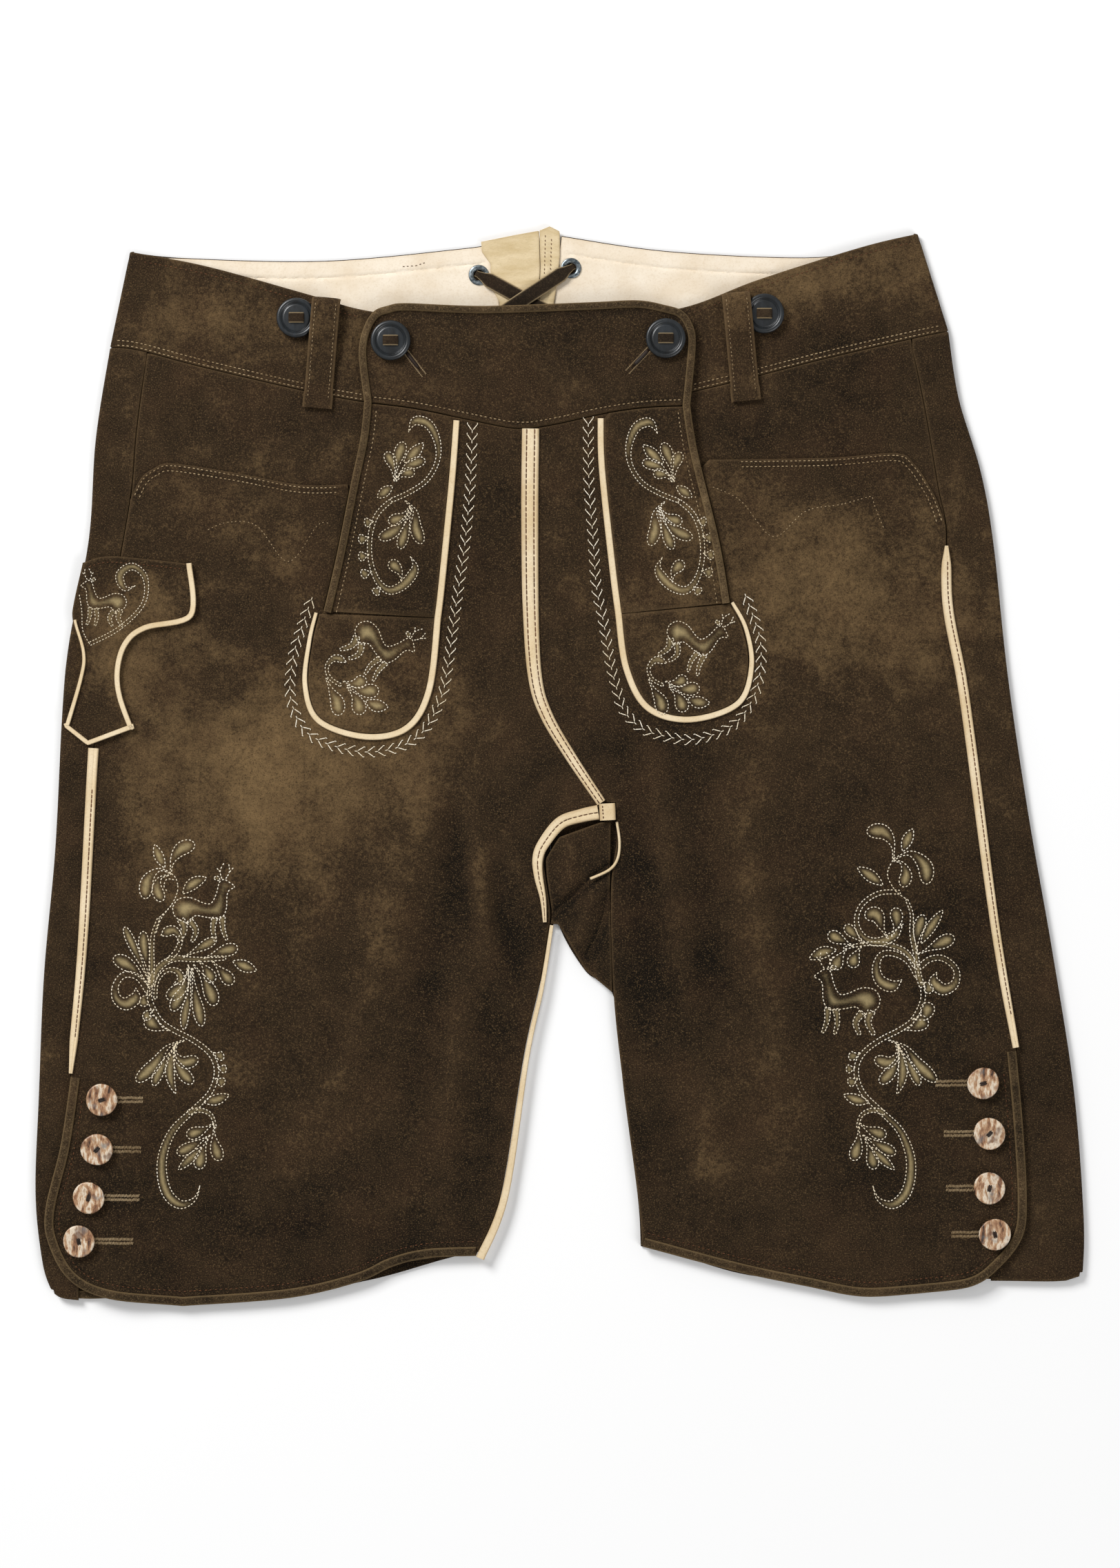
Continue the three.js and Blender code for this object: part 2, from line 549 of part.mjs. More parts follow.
// ---- front legs, each with its half of the flap; the flap's slit runs on under its strip ----
const SLIT_WIDTH = 0.6;
for (const lines of SIDES) {
  const { name, bandSeam, crotch, inseam, hem, slit, sideSeam, mouth, flapEdge } = lines;
  const upperEdge = reversed(flapEdge.filter(([, y]) => y > mouth.at(-1)[1] + 2));
  const seam = reversed(sideSeam).filter(([, y]) => y < mouth[0][1] - 2 && y > slit[0][1] + 2);
  const foot = [...reversed(inseam).slice(1), ...reversed(hem).slice(1), ...reversed(slit).slice(1)];
  const head = [...mouth, ...upperEdge, ...bandSeam.slice(1, -1)];
  const outline = [...CENTRE_FRONT, ...reversed(crotch), ...foot, ...seam, ...head];
  const cut = flapEdge.filter(([, y]) => y < mouth.at(-1)[1] + 3);
  add(`front_${name}`, panel(outline, frontLayer).subtract(prism(ribbon(cut, SLIT_WIDTH))), SUEDE);
}

// ---- the flap's band, and the strip and rounded tab down each of its edges ----
const bandFoot = [...LEFT.bandSeam, ...reversed(RIGHT.bandSeam).slice(1)];
const bandOutline = [...bandFoot, ...reversed(RIGHT.flapCorner).slice(1), ...reversed(FLAP_TOP).slice(1),
  ...LEFT.flapCorner.slice(1, -1)];
add("flap_band", panel(bandOutline, frontLayer, BAND), SUEDE);

for (const { name, side, bandSeam, flapEdge, pipingRun, pipingLoop } of SIDES) {
  const toPiping = (side * PIPING_WIDTH) / 2;
  const head = shifted(bandSeam.filter(([x]) => side * (x - pipingRun[0][0]) > 2.5), 0, -SEAM_GAP);
  const strip = [...head, ...parallel(pipingRun, toPiping), ...reversed(flapEdge).slice(0, -1)];
  add(`flap_strip_${name}`, panel(strip, onFront, OVERLAY), SUEDE);
  add(`tab_${name}`, panel(parallel(pipingLoop, toPiping), onFront, OVERLAY), SUEDE);
  const piping = ribbon([...pipingRun, ...pipingLoop.slice(1)], PIPING_WIDTH - SEAM_GAP);
  add(`u_piping_${name}`, laid(piping, onFront, PIPING), CREAM);
}

// The binding lies along the flap's free edge: up its left side, over the top and down its right side.
const rimStart = [...reversed(LEFT.flapEdge).slice(1), ...reversed(LEFT.flapCorner).slice(1)];
const rimEnd = [...RIGHT.flapCorner.slice(0, -1), ...RIGHT.flapEdge.slice(0, -1)];
const rim = [...rimStart, ...FLAP_TOP.slice(1, -1), ...rimEnd];
const rimBand = [...parallel(rim, -0.2), ...reversed(parallel(rim, -FLAP_BINDING_WIDTH))];
add("flap_binding", laid(rimBand, onStrip, BINDING), EDGE);

const centreLine = CENTRE_FRONT.map(([x, y], i) => [x, y - (i === 0 ? SEAM_GAP : 0)]);
const centreWidth = (share) => lerp(CENTRE_PIPING_WIDTH, 5.5, ramp(share, 0.55, 1));
add("centre_piping", laid(ribbon(centreLine, centreWidth), onFront, PIPING), CREAM);

// ---- the crotch: a gusset between the legs, its cream band, the cross-piece and the thin piping ----
const GUSSET = [[23.8, -32.2], [29.6, -32.2], [29.2, -72], [30.6, -131.6], [14.8, -118.6], [-1, -91.8],
  [-5.4, -91.8], [-5, -83], [-7.9, -63.6], [-8.4, -53.6], [-0.8, -41]];
add("crotch_gusset", panel(GUSSET, underlayer), SUEDE);
const gussetBandWidth = (share) => lerp(7.5, 4.6, share);
const bandLine = spline([[19, -28], [0, -33], [-10, -45.5], [-13, -54], [-12.4, -64], [-9.8, -77],
  [-8.8, -90.4]], 9);
add("gusset_piping", laid(ribbon(bandLine, gussetBandWidth), onFront, PIPING), CREAM);
const CROSSPIECE = [[22.6, -21], [32, -22], [32.4, -31], [23.2, -31.4]];
add("crotch_crosspiece", laid(CROSSPIECE, onStrip, PIPING), CREAM);
const THIN_PIPING_WIDTH = 1.6;
const thinLine = spline([[33, -32.2], [34.6, -44], [33.4, -53.6], [28.6, -60], [17.6, -65.2]], 8);
add("crotch_thin_piping", laid(ribbon(thinLine, THIN_PIPING_WIDTH), onFront, PIPING), CREAM);

// ---- piping down the left leg's inner edge and down both side seams ----
const inseamLine = parallel(reversed(LEFT.inseam), 2.4);
const inseamWidth = (share) => lerp(3.8, 5, share);
add("inseam_piping", laid(ribbon(inseamLine, inseamWidth), onFront, PIPING), CREAM);
for (const { name, sideSeam, slit, sidePipingTop: from } of SIDES) {
  const to = slit[0][1] + 2;
  const line = [...sideSeam.filter(([, y]) => y < from && y > to + 5), [crossing(sideSeam, to), to]];
  const taper = (share) => lerp(SIDE_PIPING_WIDTH, SIDE_PIPING_WIDTH - 1.5, share);
  const piping = ribbon([[crossing(sideSeam, from), from], ...line], taper);
  add(`side_piping_${name}`, laid(piping, onFront, PIPING), CREAM);
}

// ---- bindings of the slits and hems ----
for (const { name, side, slit, hem, backHem } of SIDES) {
  const line = [...slit, ...hem.slice(1)];
  const front = [...parallel(line, side * -0.3), ...reversed(parallel(line, side * -HEM_BINDING_WIDTH))];
  add(`hem_binding_front_${name}`, laid(front, onFront, BINDING), EDGE);
  const under = backHem.filter(([x]) => Math.abs(x) < 285);
  const rear = [...parallel(under, side * -0.6), ...reversed(parallel(under, side * -HEM_BINDING_WIDTH))];
  add(`hem_binding_back_${name}`, laid(rear, level(LEATHER + SEAM_GAP), BINDING), EDGE);
}

// ---- knife pocket on the wearer's right thigh: wide at its mouth, narrow below, with piping round its
// edge ----
const SHEATH = {
  mouth: spline([[-277.5, 118.6], [-264, 122.5], [-244, 121.4], [-213, 118]], 6),
  right: spline([[-213, 118], [-212.4, 86.4], [-240, 78.4], [-250.4, 70], [-254.6, 56], [-253.4, 41],
    [-246.4, 21.5]], 12),
  foot: [[-246.4, 21.5], [-274, 11.4], [-288.6, 22.4]],
  left: spline([[-288.6, 22.4], [-280, 52], [-278.6, 66], [-283.6, 84.6], [-282.8, 96], [-277.5, 118.6]],
    9),
};
const sheathOutline = [...SHEATH.mouth, ...SHEATH.right.slice(1), ...SHEATH.foot.slice(1),
  ...SHEATH.left.slice(1, -1)];
add("knife_pocket", panel(inset(sheathOutline, 0.5), onFront, OVERLAY), SUEDE);
const sheathEdge = [...SHEATH.right.slice(1), ...SHEATH.foot.slice(1), ...SHEATH.left.slice(1, 6)];
const sheathBand = [...parallel(sheathEdge, -0.6), ...reversed(parallel(sheathEdge, -PIPING_WIDTH))];
add("knife_pocket_piping", laid(sheathBand, onStrip, PIPING), CREAM);

// ---- buttons, their thongs and the belt loops ----
// Height on which a round thing of that radius can rest.
function seat(under, x, y, radius) {
  const around = [0, 45, 90, 135, 180, 225, 270, 315].map((turn) => {
    const t = degToRad(turn);
    return under(x + radius * Math.cos(t), y + radius * Math.sin(t));
  });
  return Math.max(under(x, y), ...around);
}

function button(name, kind, [x, y], under, material) {
  const { radius, height } = BUTTON[kind];
  const recess = radius * BUTTON.recessShare;
  const sunk = height - BUTTON.recessDepth;
  const side = [[0, 0], [radius - 1.5, 0], [radius, 1.1], [radius - 0.6, height - 0.5]];
  const face = [[radius - 1.8, height], [recess, height], [recess - 0.8, sunk], [0, sunk]];
  const z = seat(under, x, y, radius) + LAY_GAP;
  add(name, turned([...side, ...face], ROUND_STEPS, x, y, z), material);
  return z + height;
}

function thong(name, [x, y], z) {
  const { length, width, thickness } = THONG;
  const reach = length / 2;
  const middle = z - BUTTON.recessDepth + SEAM_GAP + thickness / 2;
  const path = [-1, -0.4, 0.4, 1].map((share) => [x + share * reach, y, middle]);
  add(name, strap(path, width, thickness), SUEDE);
}

const onBand = over(underlayer, LEATHER);
const onFlap = over(frontLayer, BAND);
const onLeg = over(frontLayer, LEATHER);
for (const { name, braceButton, flapButton, hornButtons, loop } of SIDES) {
  const braceTop = button(`brace_button_${name}`, "dark", braceButton, onBand, DARK_HORN);
  thong(`brace_thong_${name}`, braceButton, braceTop);
  const flapTop = button(`flap_button_${name}`, "dark", flapButton, onFlap, DARK_HORN);
  thong(`flap_thong_${name}`, flapButton, flapTop);
  hornButtons.forEach((place, i) => button(`leg_button_${name}_${i + 1}`, "horn", place, onLeg, STAG_HORN));

  const rise = BUTTON.dark.height + LAY_GAP + 0.3;
  const bow = [[0, 0.2], [0.045, rise], [0.3, rise], [0.44, rise - 1.4]];
  const profile = [...bow, [0.62, 0.9], [0.8, 0.3], [1, 0.3]];
  const path = profile.map(([share, lift]) => {
    const x = lerp(loop.top[0], loop.foot[0], share);
    const y = lerp(loop.top[1], loop.foot[1], share);
    return [x, y, seat(onBand, x, y, LOOP_WIDTH / 2) + LOOP_THICKNESS / 2 + LAY_GAP + lift];
  });
  add(`belt_loop_${name}`, strap(path, LOOP_WIDTH, LOOP_THICKNESS), SUEDE);
}

export default group;
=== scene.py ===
"""Leather shorts with a drop-front flap, laid flat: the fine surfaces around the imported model."""
import logging
import math
from collections.abc import Callable, Sequence
from dataclasses import dataclass, field
from enum import Enum

import bpy
import numpy as np
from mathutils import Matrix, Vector
from mathutils.geometry import delaunay_2d_cdt


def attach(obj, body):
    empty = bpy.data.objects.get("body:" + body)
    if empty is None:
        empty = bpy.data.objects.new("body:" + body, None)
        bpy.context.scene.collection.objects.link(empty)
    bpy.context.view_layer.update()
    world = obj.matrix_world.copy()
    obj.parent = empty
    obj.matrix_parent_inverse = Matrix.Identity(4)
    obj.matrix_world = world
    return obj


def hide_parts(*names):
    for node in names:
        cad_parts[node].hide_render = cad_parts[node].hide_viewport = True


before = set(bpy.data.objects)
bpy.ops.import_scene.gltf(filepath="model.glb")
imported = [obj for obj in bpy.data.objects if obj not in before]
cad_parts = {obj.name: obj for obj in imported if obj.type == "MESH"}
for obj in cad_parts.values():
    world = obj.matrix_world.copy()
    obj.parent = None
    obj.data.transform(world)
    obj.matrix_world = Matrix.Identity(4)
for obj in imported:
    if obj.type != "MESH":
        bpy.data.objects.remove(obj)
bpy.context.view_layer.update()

log = logging.getLogger("lederhosen")

Line = np.ndarray
Surface = Callable[[np.ndarray, np.ndarray], np.ndarray]
Colour = tuple[float, float, float, float]

# ---- sizes, in millimetres as the pattern is drawn; meshes are made in metres ----
MM = 0.001
LEATHER = 1.6  # the hide of the legs and the waistband
LINING = 0.8  # the pale hide inside the waist
OVERLAY = 1.2  # strips, tabs and the knife pocket
BAND = 3.0  # the flap's band, doubled
PIPING = 1.0
BINDING = 0.8
SEAM_GAP = 0.3  # between neighbours in one layer
LAY_GAP = 0.5  # between a piece and what it lies on
FRONT_REST = 3.2  # the underside of the lower front layer
WAIST_RISE = 3.1  # how much higher that is at centre front
LOWEST_FRONT = 2.0  # the soft limit of its troughs
LAP_LIFT = LEATHER + 0.6  # how far the front rides up on what it laps over
UNDERLAP = 14.0  # the back leg under the buttoned slit
CENTRE_X = -17.0  # the centre seam at the waist
PIPING_WIDTH = 3.8
BUTTON_DARK = (11.6, 3.1)  # radius and height
BUTTON_HORN = (9.2, 4.2)  # radius and height
LOOP_WIDTH = 16.5
LOOP_THICKNESS = 1.4
LINING_UNDER = LEATHER + SEAM_GAP
STRIP_FOOT = 0.06  # a strip's underside above what it lies on
BESIDE_GROOVE = (-2.2, -0.9, 0.0, 0.9, 2.2)  # where facets are laid along a groove
INSIDE_EDGE = (0.2, 0.55, 1.1, 1.8)  # where facets are laid along a cut edge
ROW_SHARE = 0.87  # the height of a row of facets, as a share of their width
EMBROIDERY_MARGIN = 1.5  # how far fine facets go past a shape
UNDERSIDE_SHARE = 6  # a face has so many points for each one of its underside
DYE_MIDDLE = 0.37  # the tone where nothing lightens or darkens the hide
CREASE_SHADING_PER_MM = 0.11  # painted light and shade: the change of tone for each millimetre of a crease, darker in its troughs and lighter on its ridges
HOLD_OFF = 1e-9  # keeps a length from being zero


# ---- lines ----
def spline(*points: tuple[float, float], steps: int = 8) -> Line:
    """Draw a smooth line through points.

    Args:
        points: The points, in order.
        steps: Straight pieces between two points.

    Returns:
        The line, with an equal number of points between each two.
    """
    knots = np.array([points[0], *points, points[-1]], dtype=float)
    out = []
    for i in range(1, len(knots) - 2):
        a, b, c, d = knots[i - 1:i + 3]
        for t in np.arange(steps) / steps:
            m0, m1 = (c - a) / 2, (d - b) / 2
            out.append(
                (2 * t**3 - 3 * t**2 + 1) * b + (t**3 - 2 * t**2 + t) * m0
                + (3 * t**2 - 2 * t**3) * c + (t**3 - t**2) * m1
            )
    return np.array([*out, knots[-1]])


def along(line: Line, share: float) -> np.ndarray:
    """Find the point a share of the way along a line, counted by its points.

    Args:
        line: The line.
        share: The share, from 0 to 1.

    Returns:
        The point.
    """
    at = share * (len(line) - 1)
    i = min(int(at), len(line) - 2)
    return line[i] + (line[i + 1] - line[i]) * (at - i)


def lengths(line: Line) -> np.ndarray:
    """Measure the distance from the start of a line to each of its points."""
    return np.concatenate([[0], np.cumsum(np.hypot(*np.diff(line, axis=0).T))])


def even(line: Line, pitch: float) -> Line:
    """Space the points of a line evenly.

    Args:
        line: The line.
        pitch: The wanted spacing.

    Returns:
        The same line with evenly spaced points, its ends kept.
    """
    run = lengths(line)
    count = max(2, int(round(run[-1] / pitch)) + 1)
    at = np.linspace(0, run[-1], count)
    return np.column_stack([np.interp(at, run, line[:, 0]), np.interp(at, run, line[:, 1])])


def crossing(line: Line, height: float) -> float:
    """Find where a line that runs down the garment crosses a height, or its nearer end."""
    order = np.argsort(line[:, 1])
    return float(np.interp(height, line[order, 1], line[order, 0]))


def height_at(line: Line, x: float) -> float:
    """Find the height of a line that runs across the garment at a place x."""
    return crossing(line[:, ::-1], x)


def normals(line: Line) -> np.ndarray:
    """Find the direction to the left of a line at each of its points.

    Args:
        line: The line.

    Returns:
        Unit vectors, one a point.
    """
    run = np.gradient(line, axis=0)
    run /= np.maximum(np.hypot(run[:, 0], run[:, 1]), HOLD_OFF)[:, None]
    return np.column_stack([-run[:, 1], run[:, 0]])


def parallel(line: Line, distance: float | np.ndarray) -> Line:
    """Move a line to its left by a distance, which may differ at each point."""
    reach = np.broadcast_to(np.asarray(distance, dtype=float), len(line))
    return line + normals(line) * reach[:, None]


def joined(*lines: Line) -> Line:
    """Join lines end to end, dropping points that repeat.

    Args:
        lines: The lines, in order.

    Returns:
        One line.
    """
    points = np.concatenate(lines)
    keep = np.hypot(*np.diff(points, axis=0, prepend=points[:1] + 9).T) > 0.05
    return points[keep]


def looped(line: Line) -> Line:
    """Close a line by repeating its first point."""
    return np.vstack([line, line[:1]])


def outline_of(*lines: Line, pitch: float = 2.0, gap: float = SEAM_GAP / 2) -> Line:
    """Make a closed outline from lines, moved in by a seam gap.

    Args:
        lines: The lines, end to end round the piece.
        pitch: The spacing of the outline's points.
        gap: How far the outline is moved inwards.

    Returns:
        The outline, running anticlockwise, its first point not repeated.
    """
    sides = [even(line, pitch) for line in lines]
    points = joined(*sides)
    if np.hypot(*(points[0] - points[-1])) < 0.2:
        points = points[:-1]
    if area_of(points) < 0:
        points = points[::-1]
    before, after = np.roll(points, 1, axis=0), np.roll(points, -1, axis=0)
    run = after - before
    run /= np.maximum(np.hypot(run[:, 0], run[:, 1]), HOLD_OFF)[:, None]
    return points + np.column_stack([-run[:, 1], run[:, 0]]) * gap


def area_of(outline: Line) -> float:
    """Measure the area inside an outline, positive when it runs anticlockwise."""
    x, y = outline.T
    return float(np.sum(x * np.roll(y, -1) - np.roll(x, -1) * y) / 2)


def distance_to(x: np.ndarray, y: np.ndarray, line: Line) -> np.ndarray:
    """Measure how far points are from a line.

    Args:
        x: The points' x.
        y: The points' y.
        line: The line; a closed one repeats its first point.

    Returns:
        The distance from each point.
    """
    best = np.full(x.shape, 1e9)
    for (ax, ay), (bx, by) in zip(line[:-1], line[1:]):
        dx, dy = bx - ax, by - ay
        share = np.clip(((x - ax) * dx + (y - ay) * dy) / max(dx * dx + dy * dy, 1e-12), 0, 1)
        np.minimum(best, (x - ax - share * dx) ** 2 + (y - ay - share * dy) ** 2, out=best)
    return np.sqrt(best)


def inside(x: np.ndarray, y: np.ndarray, outline: Line) -> np.ndarray:
    """Tell which points lie inside a closed outline.

    Args:
        x: The points' x.
        y: The points' y.
        outline: The outline, its first point not repeated.

    Returns:
        True for each point inside.
    """
    odd = np.zeros(x.shape, dtype=bool)
    for (ax, ay), (bx, by) in zip(outline, np.roll(outline, -1, axis=0)):
        if ay != by:
            odd ^= ((ay > y) != (by > y)) & (x < (bx - ax) * (y - ay) / (by - ay) + ax)
    return odd


def ramp(value: np.ndarray, start: float, end: float) -> np.ndarray:
    """Rise smoothly from 0 at start to 1 at end."""
    t = np.clip((np.asarray(value, dtype=float) - start) / (end - start), 0, 1)
    return t * t * (3 - 2 * t)


def bell(distance: np.ndarray, radius: float) -> np.ndarray:
    """Fall smoothly from 1 at no distance to nearly 0 past the radius."""
    return np.exp(-((distance / radius) ** 2))


# ---- how the layers lie ----
@dataclass(frozen=True)
class Fold:
    """A soft ridge, or a trough where its height is negative, centred at x, y along a heading."""

    x: float
    y: float
    heading: float
    length: float
    width: float
    height: float

    def at(self, x: np.ndarray, y: np.ndarray) -> np.ndarray:
        """Give the fold's height at points.

        Args:
            x: The points' x.
            y: The points' y.

        Returns:
            The height at each.
        """
        c, s = math.cos(math.radians(self.heading)), math.sin(math.radians(self.heading))
        u = (x - self.x) * c + (y - self.y) * s
        w = (y - self.y) * c - (x - self.x) * s
        return self.height * bell(u, self.length) * bell(w, self.width)


# rows of x, y, heading, length, width and height
FOLDS = tuple(Fold(*row) for row in (
    (-52, -75, 100, 70, 24, 1.1), (-100, -100, 78, 90, 26, 0.8), (80, -60, 96, 90, 26, 1.0),
    (-165, 0, 62, 60, 30, 0.7), (155, 60, 118, 60, 30, 0.7), (-160, -130, 0, 80, 80, 0.6),
    (160, -120, 0, 80, 80, 0.6), (-60, 110, 0, 80, 80, 0.4),
))
CREASES = tuple(Fold(*row) for row in (
    (-60, -62, 93, 44, 9, -2.3), (-46, -66, 96, 38, 6.5, 3.2), (-32, -92, 108, 26, 7, -2.2),
    (-22, -66, 112, 18, 5, 2.2), (-78, -130, 82, 66, 10, -1.8), (-60, -176, 84, 62, 9, 2.4),
    (-104, -96, 72, 80, 12, 2.2), (-128, -150, 70, 60, 11, -1.3), (-150, -215, 64, 50, 12, 1.6),
    (46, -74, 95, 66, 8, -2.0), (64, -62, 99, 62, 8, 2.6), (86, -112, 92, 72, 10, -1.5),
    (116, -100, 98, 90, 12, 2.0), (150, -170, 104, 60, 12, -1.0), (84, -220, 86, 50, 10, 1.6),
    (-245, -24, 91, 24, 1.5, -0.7), (-236, -38, 118, 12, 1.2, -0.5), (-258, -2, 124, 12, 1.4, -0.5),
    (-215, -52, 52, 15, 1.4, -0.5), (-198, -40, 64, 14, 1.6, -0.45), (-175, 30, 40, 30, 4.0, -0.9),
    (-200, 70, 150, 40, 7.0, 1.1), (205, -20, 82, 30, 3.0, -0.8), (190, 40, 130, 24, 3.6, -0.8),
    (228, 60, 100, 24, 2.6, -0.6), (-150, 195, 8, 34, 5.0, -0.8), (-210, 205, 78, 18, 3.2, -0.7),
    (165, 215, 160, 34, 5.0, -0.8), (30, 120, 92, 46, 7.0, -0.8), (-46, 60, 84, 46, 7.0, -0.9),
    (8, 60, 100, 36, 6.0, -0.9), (100, -235, 176, 44, 7.0, 0.9), (-120, -255, 4, 44, 7.0, 0.9),
))


def ripple(x: np.ndarray, y: np.ndarray) -> np.ndarray:
    """Give the small unevenness of a hide that has been worn."""
    waves = ((0.061, 0.023, 0.6), (-0.034, 0.071, 2.1), (0.113, -0.052, 4.0), (0.021, 0.139, 1.2), (0.17, 0.09, 5.1))
    return sum(0.055 * np.sin(kx * x + ky * y + turn + 1.3 * np.sin(0.03 * x - 0.02 * y)) for kx, ky, turn in waves)


def under_layer(x: np.ndarray, y: np.ndarray) -> np.ndarray:
    """Give the underside of the lower front layer, low at the side folds and high at the waist.

    Args:
        x: The points' x.
        y: The points' y.

    Returns:
        The height at each.
    """
    x, y = np.asarray(x, dtype=float), np.asarray(y, dtype=float)
    waist = ramp(y, 130, 250) * (1 - ramp(np.abs(x - CENTRE_X), 90, 215))
    air = sum(fold.at(x, y) for fold in FOLDS + CREASES)
    height = FRONT_REST + WAIST_RISE * waist + air + ripple(x, y)
    return LOWEST_FRONT + np.logaddexp(0, 4 * (height - LOWEST_FRONT)) / 4


def front_layer(x: np.ndarray, y: np.ndarray) -> np.ndarray:
    """Give the underside of the front legs and the flap, over the facings and the back legs."""
    slit = (ramp(x, -228, -258) + ramp(x, 214, 240)) * ramp(y, -120, -165)
    return under_layer(x, y) + LAP_LIFT * (ramp(y, 92, 150) + slit)


def raised(surface: Surface, rise: float) -> Surface:
    """Move a surface up by a height."""
    return lambda x, y: surface(x, y) + rise


def level(height: float) -> Surface:
    """Give a level surface."""
    return lambda x, y: np.full(np.shape(x), height)


on_front = raised(front_layer, LEATHER + LAY_GAP)
on_strip = raised(front_layer, LEATHER + OVERLAY + 2 * LAY_GAP)
on_band = raised(under_layer, LEATHER)

# where the dyed hide is lighter or darker: the middle, the reach across and up, and by how much
PATCHES = (
    (-155, 10, 90, 58, 0.30), (-190, -40, 60, 60, 0.16), (135, 112, 84, 50, 0.25), (190, 60, 60, 60, 0.12),
    (205, -110, 80, 100, -0.22), (60, -20, 60, 70, -0.10), (268, 150, 12, 50, 0.14),
    (-165, 250, 60, 20, 0.10), (215, 120, 26, 60, 0.10),
    (80, 60, 60, 50, 0.12), (-95, -15, 50, 50, 0.10), (-215, 265, 60, 26, 0.16), (150, 285, 90, 26, 0.34),
    (-165, 175, 60, 34, 0.12), (-60, 110, 40, 70, -0.10), (-240, 60, 22, 120, 0.10), (275, -60, 30, 150, 0.06),
    (-60, -200, 50, 110, -0.14), (-160, -270, 120, 50, -0.22), (60, -120, 46, 160, -0.20),
    (200, -250, 90, 60, -0.16), (-20, -50, 46, 60, -0.12), (150, 240, 60, 20, -0.10), (110, 195, 70, 16, -0.16),
    (-165, -205, 40, 60, -0.10), (-265, 78, 26, 36, 0.26), (-270, -60, 20, 150, -0.12), (20, 260, 70, 26, -0.10),
    (-98, 150, 22, 60, -0.02), (64, 150, 22, 60, 0.08), (120, -220, 40, 60, 0.10), (-120, -200, 34, 60, 0.08),
)


def dye_and_crease_shading(x: np.ndarray, y: np.ndarray) -> np.ndarray:
    """Give how light the hide is at points, about 0.5 on the whole: its unevenly dyed patches, with painted shade in
    crease troughs and painted light on crease ridges.

    Args:
        x: The points' x.
        y: The points' y.

    Returns:
        The tone at each.
    """
    tone = np.full(np.shape(x), DYE_MIDDLE)
    for cx, cy, rx, ry, amount in PATCHES:
        tone = tone + amount * np.exp(-(((x - cx) / rx) ** 2) - ((y - cy) / ry) ** 2)
    # painted light and shade: the creases darken the tone in their troughs and lighten it on their ridges
    painted_crease_shading = sum(fold.at(x, y) for fold in CREASES)
    return tone + CREASE_SHADING_PER_MM * np.clip(painted_crease_shading, -2.0, 2.0)


# ---- the pattern's lines, shared by the pieces ----
@dataclass(frozen=True)
class Half:
    """The lines of one half of the garment as it lies. side is -1 for the half at negative x."""

    name: str
    side: int
    edge: Line
    side_seam: Line
    slit: Line
    hem: Line
    inseam: Line
    crotch: Line
    mouth: Line
    flap_edge: Line
    flap_corner: Line
    band_seam: Line
    waist_seam: Line
    waist_top: Line
    back_seam: Line
    back_top: Line
    back_middle: Line
    back_hem: Line
    piping_run: Line
    piping_loop: Line
    facing_foot: Line
    horn_buttons: tuple[tuple[float, float], ...]
    buttonhole_ends: tuple[float, ...]
    brace_button: tuple[float, float]
    flap_button: tuple[float, float]
    flap_hole: tuple[tuple[float, float], tuple[float, float]]
    loop_top: tuple[float, float]
    loop_foot: tuple[float, float]
    side_piping_from: float


